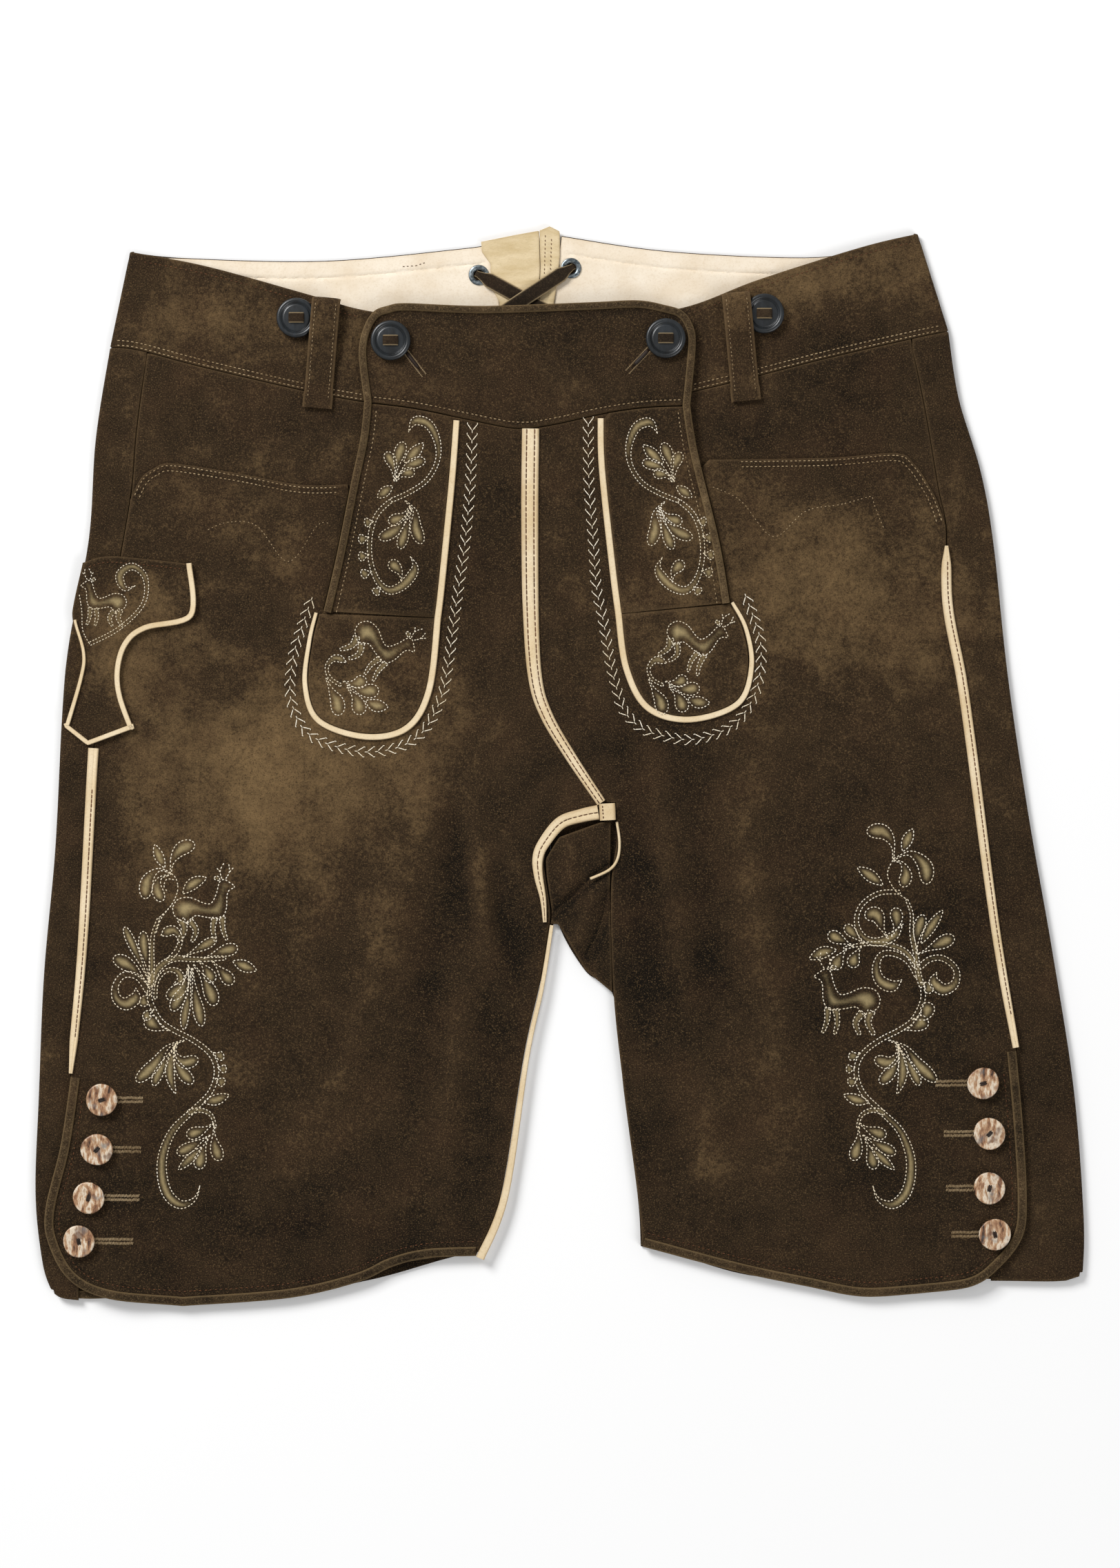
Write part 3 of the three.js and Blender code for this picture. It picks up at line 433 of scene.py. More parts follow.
CROTCH = (24, -21)
NOTCH_FOOT = (-20, 172)
APEX = (-3.6, -90)
CENTRE_FRONT = spline((CENTRE_X, 196), (-17.5, 150), (-17, 92), (-14.5, 52), (-8, 30), (6, 6), CROTCH)
FLAP_TOP = spline((-98.8, 266.8), (-88.8, 268), (-44.8, 266.4), (15.2, 268.4), (45, 269.6), (61.2, 266.8))
LEFT = Half(
    name="left", side=-1,
    edge=spline((-261.6, 243.5), (-270, 190), (-274, 132), (-285.5, 72), (-289.5, 30), (-293.5, -48),
                (-300, -120), (-303, -190), (-305, -248), (-301, -288), (-296, -304)),
    side_seam=spline((-240, 240), (-246, 195), (-249.5, 155), (-258.5, 104), (-265.5, 60), (-270.8, 11),
                     (-277, -100), (-284, -180)),
    slit=spline((-284, -180), (-290, -220), (-298.8, -257), (-297, -277), (-285, -298), (-262, -309),
                (-219, -313.5)),
    hem=spline((-219, -313.5), (-157, -308.8), (-117, -299.5), (-97, -290.5), (-77, -285.6), (-48.8, -284.4)),
    inseam=spline((-48.8, -284.4), (-34, -248), (-21, -168), (-12, -128), (-6, -92)),
    crotch=spline((-6, -92), (-5.6, -83), (-8.4, -63.6), (-9, -53.6), (-2.8, -38.4), (17, -32), (24.2, -31.4)),
    mouth=spline((-249.5, 155), (-243.6, 167), (-236, 173), (-225, 176), (-188, 170.4), (-150, 163.5), (-121, 164)),
    flap_edge=spline((-113.2, 211), (-115.5, 190), (-121, 164), (-129, 124), (-137, 90)),
    flap_corner=spline((-98.8, 266.8), (-107.5, 263.5), (-113.5, 254), (-116.4, 239), (-113.2, 211)),
    band_seam=spline((-113.2, 211), (-85, 207.5), (-55, 201.5), (-30, 196.5), (CENTRE_X, 196)),
    waist_seam=spline((CENTRE_X - 1, 204.4), (-85, 208.4), (-133, 215), (-205, 231.5), (-245, 242), (-261.6, 243.5)),
    waist_top=spline((CENTRE_X - 1, 257), (-65, 258.5), (-112.8, 264.5), (-145, 273.6), (-205, 290.4), (-250, 299)),
    back_seam=spline((-261.6, 243.5), (-200, 239), (-120, 239), (-32, 243)),
    back_top=spline((-250, 299), (-217, 295.6), (-137, 294), (-57, 301.2), (-40, 304)),
    back_middle=spline((-33, 242.5), NOTCH_FOOT, (-14, 60), (-5, -60), APEX, (-12, -128), (-21, -168),
                       (-34, -248), (-46, -282)),
    back_hem=spline((-296, -304), (-286, -309.5), (-250, -309), (-150, -298), (-46, -282)),
    piping_run=spline((-60, 200.4), (-62.8, 164), (-68.8, 104.4), (-71, 86)),
    piping_loop=spline((-71, 86), (-76, 44.4), (-88.8, 22.4), (-112.8, 17.2), (-140, 26.4), (-148, 47),
                       (-145.6, 72.4), (-141.6, 89.2)),
    facing_foot=np.array([(-76.0, 148), (-76, 206)]),
    horn_buttons=((-265.6, -193.2), (-268.4, -222), (-273.2, -250), (-278.8, -275.2)),
    buttonhole_ends=(-242.5, -243.5, -244.5, -248.0),
    brace_button=(-152.8, 260), flap_button=(-98, 246.4), flap_hole=((-90, 241), (-78.8, 226.5)),
    loop_top=(-135.2, 271), loop_foot=(-140.8, 207.8), side_piping_from=10.6,
)
RIGHT = Half(
    name="right", side=1,
    edge=spline((225.8, 253), (231.8, 214), (244.5, 172), (252, 130), (260.5, 52), (272.4, -28), (286.4, -108),
                (298.8, -188), (304.5, -262), (304, -294)),
    side_seam=spline((204.5, 244.5), (212, 208), (220, 161), (224, 140), (225, 95), (233, 52), (239, 10),
                     (252.5, -92), (264.8, -165)),
    slit=spline((264.8, -165), (268.5, -205), (271, -250), (268.5, -273), (255, -291), (238.4, -302), (207, -306.4)),
    hem=spline((207, -306.4), (175, -308), (143, -302), (103, -293.6), (48, -279)),
    inseam=spline((48, -279), (45.2, -250), (37, -188), (31, -132), (29.5, -72), (33, -42), (32.6, -31.6)),
    crotch=np.array([(32.6, -31.6), (32.6, -21)]),
    mouth=spline((224, 140), (219, 154.5), (213, 165.5), (206, 175.5), (195, 182), (155, 179.2), (80.5, 178)),
    flap_edge=spline((75.2, 209), (77.2, 195), (80.5, 178), (92.4, 129.6), (98.4, 95)),
    flap_corner=spline((61.2, 266.8), (70, 264), (76, 257), (78.4, 244.4), (75.2, 209)),
    band_seam=spline((75.2, 209), (50, 208), (25, 204.5), (0, 199), (CENTRE_X, 196)),
    waist_seam=spline((CENTRE_X + 1, 204.4), (15, 207.6), (77, 217.6), (155, 237.2), (204, 248.5), (225.8, 253)),
    waist_top=spline((CENTRE_X + 1, 257), (15, 258), (71, 266), (115, 282.4), (175, 301.6), (208, 309.5)),
    back_seam=spline((225.8, 253), (150, 243), (60, 242), (-10, 243)),
    back_top=spline((208, 309.5), (179, 301), (143, 296), (63, 299.6), (1, 308.5)),
    back_middle=spline((-9, 242.5), (-19.4, 172), (-13.4, 60), (-4.4, -60), (-1, -91), (14.8, -119), (31, -133),
                       (37, -188), (45.2, -250), (47, -279)),
    back_hem=spline((304, -294), (296, -298.5), (268, -299), (180, -296), (47, -279)),
    piping_run=spline((23.6, 201.6), (24.4, 172.4), (30.4, 116.4), (34, 88.4)),
    piping_loop=spline((34, 88.4), (38.5, 57), (51, 34), (75.2, 27.2), (103.2, 36.4), (111.2, 58), (108, 80),
                       (100, 95.2)),
    facing_foot=np.array([(38.0, 162), (38, 208)]),
    horn_buttons=((245.2, -183.6), (248.8, -212.8), (248.8, -244.4), (252, -271.2)),
    buttonhole_ends=(218.4, 223.2, 224.4, 227.6),
    brace_button=(118.4, 262.4), flap_button=(61.2, 247.6), flap_hole=((52.5, 242.5), (39.2, 228.4)),
    loop_top=(101.8, 274), loop_foot=(108, 212), side_piping_from=128,
)
HALVES = (LEFT, RIGHT)
EYELETS = {
    "eyelet_upper_left": (-47.2, 285.6), "eyelet_upper_right": (6.4, 289.6),
    "eyelet_lower_left": (-42.5, 257.0), "eyelet_lower_right": (3.5, 258.0),
}


# ---- meshes ----
def mesh_object(name: str, points: np.ndarray, faces: Sequence[Sequence[int]],
                crisp: float = 50.0) -> bpy.types.Object:
    """Make an object from points in millimetres.

    Args:
        name: The object's name.
        points: Its vertices.
        faces: The vertices of each face.
        crisp: The angle in degrees past which an edge stays sharp.

    Returns:
        The object, in the scene.
    """
    mesh = bpy.data.meshes.new(name)
    mesh.from_pydata((np.asarray(points, dtype=float) * MM).tolist(), [], [list(map(int, f)) for f in faces])
    mesh.polygons.foreach_set("use_smooth", [True] * len(mesh.polygons))
    mesh.set_sharp_from_angle(angle=math.radians(crisp))
    mesh.update()
    piece = bpy.data.objects.new(name, mesh)
    bpy.context.scene.collection.objects.link(piece)
    return piece


def paint(piece: bpy.types.Object, **layers: np.ndarray) -> None:
    """Store values at the vertices, which a finish reads by their names.

    Args:
        piece: The object.
        layers: For each name, a value at every vertex.
    """
    for name, values in layers.items():
        layer = piece.data.attributes.new(name, "FLOAT", "POINT")
        layer.data.foreach_set("value", np.asarray(values, dtype=np.float32))


def shell_faces(columns: int, rows: int, offset: int = 0, flip: bool = False) -> list[tuple[int, int, int, int]]:
    """List the faces of a grid of points, row by row.

    Args:
        columns: Points in a row.
        rows: Rows.
        offset: The number of the first point.
        flip: Whether to turn the faces over.

    Returns:
        The faces.
    """
    faces = []
    for j in range(rows - 1):
        for i in range(columns - 1):
            a = offset + j * columns + i
            quad = (a, a + 1, a + 1 + columns, a + columns)
            faces.append(quad[::-1] if flip else quad)
    return faces


def grid_shell(name: str, outer: np.ndarray, inner: np.ndarray, flip: bool) -> bpy.types.Object:
    """Close two grids of points into a wall.

    Args:
        name: The object's name.
        outer: The outer face, rows by columns by 3.
        inner: The inner face, of the same shape.
        flip: Whether the outer grid runs clockwise seen from outside.

    Returns:
        The wall.
    """
    rows, columns = outer.shape[:2]
    count = rows * columns
    faces = shell_faces(columns, rows, 0, flip) + shell_faces(columns, rows, count, not flip)
    border = [*range(columns - 1), *(j * columns + columns - 1 for j in range(rows - 1)),
              *(count - 1 - i for i in range(columns - 1)), *((rows - 1 - j) * columns for j in range(rows - 1))]
    for a, b in zip(border, border[1:] + border[:1]):
        quad = (b, a, a + count, b + count)
        faces.append(quad[::-1] if flip else quad)
    return mesh_object(name, np.concatenate([outer.reshape(-1, 3), inner.reshape(-1, 3)]), faces)


def rounding(distance: np.ndarray, radius: float) -> np.ndarray:
    """Give how far a rounded edge of that radius drops at a distance from the edge."""
    gap = np.clip(radius - distance, 0, radius)
    return radius - np.sqrt(np.maximum(radius**2 - gap**2, 0))


# ---- embroidery ----
class Cut(Enum):
    """The forms that the embroidered shapes are cut to."""

    PETAL = "petal"
    LEAF = "leaf"
    STEM = "stem"
    SCROLL = "scroll"
    LIMB = "limb"
    THREAD = "thread"
    BODY = "body"


@dataclass(frozen=True)
class Stroke:
    """One embroidered shape: its cut, its greatest width, and its middle line from root to tip."""

    cut: Cut
    width: float
    points: tuple[tuple[float, float], ...]

    def outline(self, place: Callable[[Line], Line]) -> tuple[Line, bool]:
        """Draw the shape.

        Args:
            place: Moves points from the ornament's own frame onto the garment.

        Returns:
            The stitched line and whether it is closed.
        """
        if self.cut is Cut.BODY:
            return place(spline(*self.points, self.points[0], steps=4)), True
        middle = place(even(spline(*self.points), 0.8))
        if self.cut is Cut.THREAD:
            return middle, False
        s = np.linspace(0, 1, len(middle))
        forms = {
            Cut.PETAL: (0.10 + 0.90 * ramp(s, 0.12, 0.74)) * np.sqrt(1 - np.clip((s - 0.74) / 0.26, 0, 1) ** 2),
            Cut.LEAF: np.sin(np.pi * s) ** 0.85,
            Cut.STEM: 1 - 0.6 * s,
            Cut.SCROLL: (0.45 + 0.55 * ramp(s, 0.45, 0.84)) * (1 - ramp(s, 0.86, 1.0)),
            Cut.LIMB: 1 - 0.55 * s,
        }
        half = self.width / 2 * forms[self.cut]
        return np.concatenate([parallel(middle, half), parallel(middle, -half)[::-1]]), True


def strokes(*rows: tuple[Cut, float, tuple[tuple[float, float], ...]]) -> tuple[Stroke, ...]:
    """Make shapes from their cuts, widths and middle lines."""
    return tuple(Stroke(*row) for row in rows)


P, L, S, C, T = Cut.PETAL, Cut.LEAF, Cut.STEM, Cut.SCROLL, Cut.THREAD
VINE_FOOT = strokes(
    (C, 5.8, ((0, -1), (0, -9), (5.5, -20), (13.5, -26), (25, -32), (35, -40), (38.6, -50), (35, -62),
              (25, -72.5), (13.5, -84), (7.5, -98), (7, -111), (10.5, -122), (18, -127.5), (26, -124), (29, -116))),
    (P, 7.5, ((20, -32), (10, -36), (2.6, -46), (-8, -56))),
    (P, 5.5, ((15, -34), (9, -44), (4.5, -52), (2, -58.5))),
    (L, 5.2, ((14, -36), (11.6, -46), (12, -55), (15, -63.5))),
    (P, 7.0, ((14, -35), (14.5, -43), (19, -51), (25, -57))),
    (P, 7.0, ((16, -33), (14.5, -40), (20, -45), (28, -42.5))),
    (P, 5.6, ((36.5, -39), (40, -41), (43, -40.5))),
    (P, 5.2, ((39, -47.5), (42, -48.5), (44.5, -48.5))),
    (P, 5.6, ((37.5, -54), (41, -56), (43.5, -57))),
    (L, 6.0, ((31, -68), (38.5, -66.5), (46, -63.5))),
    (S, 3.0, ((22, -74), (29, -72.5), (35.5, -75.5), (38, -83))),
    (P, 7.0, ((37, -80), (31, -84), (21, -87.5))),
    (P, 6.5, ((35, -87), (25, -93), (15.5, -98))),
    (L, 5.0, ((30, -94), (23, -101), (16, -107.5))),
    (P, 7.0, ((33.5, -89), (30, -98), (28, -107))),
    (P, 7.0, ((37, -82), (37.5, -92), (40.5, -102))),
    (P, 8.5, ((11, -26), (4.5, -24.5), (-2.5, -19))),
)
VINE_LEFT = strokes(
    (S, 3.4, ((0, -1), (1, 8), (1, 21), (1.8, 30), (5, 39))),
    (T, 0.0, ((5, 39), (12, 46), (16, 55), (15, 62), (12, 65))),
    (T, 0.0, ((3.4, 30), (6, 38), (11, 45))),
    (P, 8.0, ((12, 64), (13, 72), (18, 79), (26, 82))),
    (L, 5.4, ((8.5, 68), (5, 75), (2.5, 82))),
    (P, 7.6, ((12, 65), (5, 67), (-1.5, 61), (-3, 50))),
    (P, 6.6, ((11, 64), (5.5, 62), (4, 56), (7, 48.5))),
    (T, 0.0, ((14.5, 61), (9.5, 61.5), (8, 57), (10, 54.5))),
    (L, 6.6, ((19, 53), (25, 59), (33, 62.5))),
    (P, 5.0, ((0, 1), (-6, 14), (-11, 25), (-15, 34))),
    (P, 6.0, ((0, 2), (-2, 14), (-3.6, 23), (-4, 31.5))),
    (P, 8.0, ((-1, 0), (-8, 8), (-15, 13), (-21.5, 16))),
    (C, 7.2, ((-1, -4), (-7, 4.5), (-15, 6), (-20, 0), (-19.5, -7.5), (-14, -11), (-8.5, -7), (-8.5, -1))),
    (C, 5.6, ((10, 14), (15.5, 20), (17.5, 27), (13, 32), (6, 28.5))),
    (S, 4.2, ((0.5, 0), (3.5, 8), (8.5, 13), (15, 15.5), (24, 15), (34, 15), (44, 15.5))),
    (L, 6.6, ((48, 14), (55, 11), (62, 8.5))),
    (P, 7.2, ((31, 15.5), (40, 19), (51, 22))),
    (P, 5.6, ((19, 16), (27, 20.5), (38.5, 27))),
    (P, 7.0, ((28, 14.5), (33, 8.5), (36.5, 1.5))),
    (P, 7.4, ((36, 14), (42, 7.5), (48, 0.5))),
    (C, 4.0, ((3, -8), (4, 2), (9.5, 8.5), (16, 8), (18, 3), (13, 0.5))),
    (P, 8.0, ((22, 12), (21, 3), (16.5, -3), (9.5, -7.5))),
    (P, 7.2, ((22.5, 11), (20, -2), (16, -9), (12.5, -15))),
    (P, 4.8, ((24, 10), (22, -8), (20, -18), (19.5, -26))),
    (P, 6.6, ((24.5, 10), (26, -4), (28, -14), (30, -24))),
    (P, 8.2, ((25, 12), (31, 4), (35, -4), (37.5, -12))),
    (P, 5.2, ((0.5, -5), (-3.5, -8), (-3, -12.5))),
    (P, 5.2, ((2.5, -14), (-1.5, -16.5), (-1.5, -20.5))),
)
VINE_RIGHT = strokes(
    (S, 3.4, ((0, -1), (2.4, 6), (4, 18), (6.4, 30), (6.4, 41.5), (9.5, 50))),
    (T, 0.0, ((9.5, 50), (15.5, 54.5), (20, 62), (20, 67), (17, 73))),
    (P, 8.6, ((17, 73), (17.5, 82), (23, 89), (32.5, 89))),
    (L, 6.0, ((11.5, 77.5), (9, 84), (5.5, 91))),
    (P, 8.6, ((17, 73), (7, 76.5), (-1.5, 69), (-2, 58.5))),
    (P, 7.0, ((17, 72), (12, 71), (9.5, 64), (12, 57))),
    (L, 6.6, ((23, 58), (31, 64), (38, 68.5))),
    (C, 5.2, ((13, 54), (25, 53.5), (35, 47), (38.5, 37.5), (35, 28.5), (27, 25), (17, 28.5), (11, 36))),
    (P, 8.4, ((20, 27), (23.5, 33), (27, 41), (33.5, 39.5))),
    (P, 7.2, ((18, 28), (15, 36), (16, 45))),
    (P, 6.4, ((3.5, 18), (3, 30), (-0.5, 41))),
    (L, 5.6, ((1, 24), (-5, 34), (-12, 44))),
    (P, 7.6, ((2.5, 18), (-7.5, 23), (-18.5, 28))),
    (C, 6.8, ((2, 10), (-4, 15), (-12, 15.5), (-19.5, 9), (-18.5, 0.5), (-11.5, -2.5), (-6.5, 2.5), (-8.5, 8))),
    (S, 3.4, ((4, 11), (10, 19.5), (20.5, 23.5), (32.5, 24), (46, 21.5))),
    (L, 6.6, ((50, 20.5), (58, 19), (66, 15))),
    (P, 7.2, ((40, 22.5), (47, 26), (55, 30))),
    (P, 6.0, ((34, 24), (40, 29.5), (45, 35))),
    (P, 7.2, ((44, 21.5), (48.5, 15.5), (51.5, 9))),
    (P, 7.2, ((35.5, 23), (39.5, 16), (41, 10))),
    (C, 6.8, ((3, 5), (8, 13.5), (15.5, 18), (23.5, 18), (27, 11), (25, 3), (18, -0.5), (11.5, 3.5))),
    (P, 5.4, ((1.5, 1.5), (-3, 0), (-3.5, -5))),
    (P, 8.2, ((6, -20), (-1, -18), (-4, -10))),
)
STRIP_SCROLLS = strokes(
    (C, 5.2, ((2, 4), (13, 9), (23, 16), (29, 27), (29, 38), (24, 48), (16, 50), (12, 43))),
    (C, 5.4, ((2, 4), (-6, -4), (-10, -16), (-10, -30), (-6, -42), (1, -48), (10, -44), (16, -35), (13, -28))),
    (P, 6.2, ((4, 15), (3, 25), (-1, 32))),
    (P, 6.6, ((4.5, 16), (6, 28), (9.5, 38))),
    (L, 6.4, ((9.5, 26), (15, 31), (21, 37.5))),
    (P, 6.2, ((5, 17), (12, 24), (22, 27.5))),
    (P, 5.8, ((5, 15), (9, 19.5), (16, 20.5))),
    (L, 5.6, ((3, 12.5), (-1, 9.5), (-6, 5.5))),
    (P, 6.6, ((13, 1), (9, -5), (0.5, -8.5))),
    (P, 6.8, ((13.5, 0), (6, -12), (-5, -18))),
    (P, 6.0, ((14, -1), (10.5, -13), (7, -24))),
    (P, 7.0, ((10, 4), (16, -2), (16.5, -12), (20, -21))),
    (P, 6.6, ((8, -43), (7, -37), (1, -31))),
    (P, 5.6, ((-8, -8), (-11, -8.5), (-13.5, -9))),
    (P, 5.8, ((-10.5, -17), (-14, -18), (-17, -18.5))),
    (P, 5.8, ((-10.5, -27), (-14, -28), (-17, -28.5))),
    (P, 5.8, ((-9, -37), (-12.5, -38), (-15.5, -39))),
    (P, 5.4, ((-4, -46), (-6, -48), (-8, -50))),
)
SPRIG = strokes(
    (P, 6.4, ((1, 2), (8, 1), (13, 4))),
    (P, 7.2, ((3, 0), (11, -3), (20, -2.5))),
    (L, 6.4, ((13, -8), (18, -10.5), (25, -11.5))),
    (P, 7.4, ((3, -1), (8, -7), (10.5, -15.5))),
    (P, 7.4, ((-8, 4), (-5, -3), (-2, -9), (-1.5, -16))),
    (C, 3.6, ((0, 0), (-6, 4), (-7.5, 10), (-3, 14.5), (3, 12))),
)
STAG = strokes(
    (Cut.BODY, 0.0, ((-0.50, 0.12), (-0.41, 0.26), (-0.20, 0.29), (0.02, 0.20), (0.16, 0.19), (0.25, 0.36),
                     (0.30, 0.55), (0.38, 0.60), (0.47, 0.55), (0.57, 0.47), (0.47, 0.42), (0.43, 0.32),
                     (0.42, 0.10), (0.33, -0.06), (0.10, -0.05), (-0.12, -0.02), (-0.22, -0.14), (-0.36, -0.10),
                     (-0.47, -0.02))),
    (Cut.LIMB, 0.10, ((0.35, -0.03), (0.36, -0.24), (0.43, -0.44))),
    (Cut.LIMB, 0.10, ((0.22, -0.05), (0.19, -0.26), (0.24, -0.46))),
    (Cut.LIMB, 0.13, ((-0.36, -0.08), (-0.30, -0.26), (-0.40, -0.47))),
    (Cut.LIMB, 0.12, ((-0.22, -0.10), (-0.10, -0.27), (-0.17, -0.47))),
    (T, 0.0, ((0.35, 0.60), (0.31, 0.74), (0.38, 0.88))),
    (T, 0.0, ((0.32, 0.72), (0.25, 0.80))),
    (T, 0.0, ((0.40, 0.60), (0.47, 0.72), (0.46, 0.87))),
    (T, 0.0, ((0.47, 0.72), (0.54, 0.80))),
    (L, 0.08, ((0.31, 0.58), (0.26, 0.62), (0.20, 0.62))),
)
KNIFE_SCROLL = strokes(
    (C, 4.4, ((-273, 71), (-256, 80), (-242, 94), (-240.5, 109), (-248, 116), (-255.5, 111), (-252.5, 103),
              (-246, 105))),
    (T, 0.0, ((-273, 71), (-277, 79), (-277.5, 90), (-279, 100))),
)


@dataclass(frozen=True)
class Motif:
    """A group of embroidered shapes, turned, scaled, perhaps mirrored, and put at a place."""

    strokes: tuple[Stroke, ...]
    at: tuple[float, float] = (0.0, 0.0)
    scale: float = 1.0
    turn: float = 0.0
    mirrored: bool = False

    def place(self, line: Line) -> Line:
        """Move points from the motif's own frame onto the garment.

        Args:
            line: The points.

        Returns:
            The points on the garment.
        """
        c, s = math.cos(math.radians(self.turn)), math.sin(math.radians(self.turn))
        x = line[:, 0] * self.scale * (-1 if self.mirrored else 1)
        y = line[:, 1] * self.scale
        return np.column_stack([c * x - s * y + self.at[0], s * x + c * y + self.at[1]])

    def shapes(self) -> list[tuple[Line, bool]]:
        """Draw every shape of the motif on the garment.

        Returns:
            Each shape's line and whether it is closed.
        """
        drawn = []
        for stroke in self.strokes:
            if self.scale > 5:  # a motif drawn in unit size is smoothed at full size
                points = tuple(map(tuple, self.place(np.array(stroke.points, dtype=float))))
                drawn.append(Stroke(stroke.cut, stroke.width * self.scale, points).outline(lambda line: line))
            else:
                drawn.append(Stroke(stroke.cut, stroke.width * self.scale, stroke.points).outline(self.place))
        return drawn


KNOT_LEFT = (-238.0, -127.0)
KNOT_RIGHT = (210.6, -127.0)
LEG_MOTIFS = {
    "left": (Motif(VINE_FOOT, KNOT_LEFT), Motif(VINE_LEFT, KNOT_LEFT), Motif(STAG, (-208, -86), 34.0)),
    "right": (Motif(VINE_FOOT, KNOT_RIGHT, mirrored=True), Motif(VINE_RIGHT, KNOT_RIGHT, mirrored=True),
              Motif(STAG, (168, -139), 36.0, mirrored=True)),
}
STRIP_MOTIFS = {
    "left": (Motif(STRIP_SCROLLS, (-100, 150)),),
    "right": (Motif(STRIP_SCROLLS, (71, 150), turn=3, mirrored=True),),
}
TAB_MOTIFS = {
    "left": (Motif(STAG, (-108, 69), 32.0, turn=-46), Motif(SPRIG, (-127, 47), 1.1)),
    "right": (Motif(STAG, (75, 71), 31.0, turn=-30), Motif(SPRIG, (60, 47), 1.05, turn=4)),
}
KNIFE_MOTIFS = (Motif(KNIFE_SCROLL), Motif(STAG, (-264, 93), 25.0, mirrored=True))


@dataclass
class Embroidery:
    """Padded shapes outlined in thread. Each presses its stitches in and swells between them."""

    motifs: tuple[Motif, ...]
    swell: float = 1.0
    drawn: list[tuple[Line, bool]] = field(init=False)

    def __post_init__(self) -> None:
        """Draw the shapes once."""
        self.drawn = [shape for motif in self.motifs for shape in motif.shapes()]

    def reach(self, x: np.ndarray, y: np.ndarray, margin: float) -> np.ndarray:
        """Tell which points are within a margin of a shape's box.

        Args:
            x: The points' x.
            y: The points' y.
            margin: The margin.

        Returns:
            True for each point near a shape.
        """
        near = np.zeros(x.shape, dtype=bool)
        for line, _ in self.drawn:
            (x0, y0), (x1, y1) = line.min(axis=0) - margin, line.max(axis=0) + margin
            near |= (x > x0) & (x < x1) & (y > y0) & (y < y1)
        return near

    def relief(self, x: np.ndarray, y: np.ndarray) -> tuple[np.ndarray, np.ndarray]:
        """Work out the swelling and its light centre.

        Args:
            x: The points' x.
            y: The points' y.

        Returns:
            The height added at each point, and how light the hide is there.
        """
        height, glow = np.zeros(x.shape), np.zeros(x.shape)
        for line, closed in self.drawn:
            (x0, y0), (x1, y1) = line.min(axis=0) - 2, line.max(axis=0) + 2
            near = np.flatnonzero((x > x0) & (x < x1) & (y > y0) & (y < y1))
            if not len(near):
                continue
            px, py = x[near], y[near]
            distance = distance_to(px, py, looped(line) if closed else line)
            height[near] = np.minimum(height[near], 0) - 0.16 * bell(distance, 0.8) + np.maximum(height[near], 0)
            if closed:
                within = inside(px, py, line)
                deepest = max(float(distance[within].max(initial=0.0)), 0.6)
                share = np.where(within, np.clip(distance / deepest, 0, 1), 0)
                size = min(deepest / 3.6, 1.15)
                height[near] = np.maximum(height[near], self.swell * size * np.sin(share * np.pi / 2) * (share > 0.02))
                glow[near] = np.maximum(glow[near], min(size + 0.25, 1.0) * ramp(share, 0.25, 1.0))
        return height, glow


# ---- panels ----
@dataclass(frozen=True)
class Groove:
    """A line of stitches or a seam that presses a panel down, with painted shade that darkens the hide's tone beside
    it.
    """

    line: Line
    depth: float = 0.28
    width: float = 1.1
    # painted shade: how much the tone darkens beside the groove; where below nothing, it lightens as painted light
    shade: float = 0.10


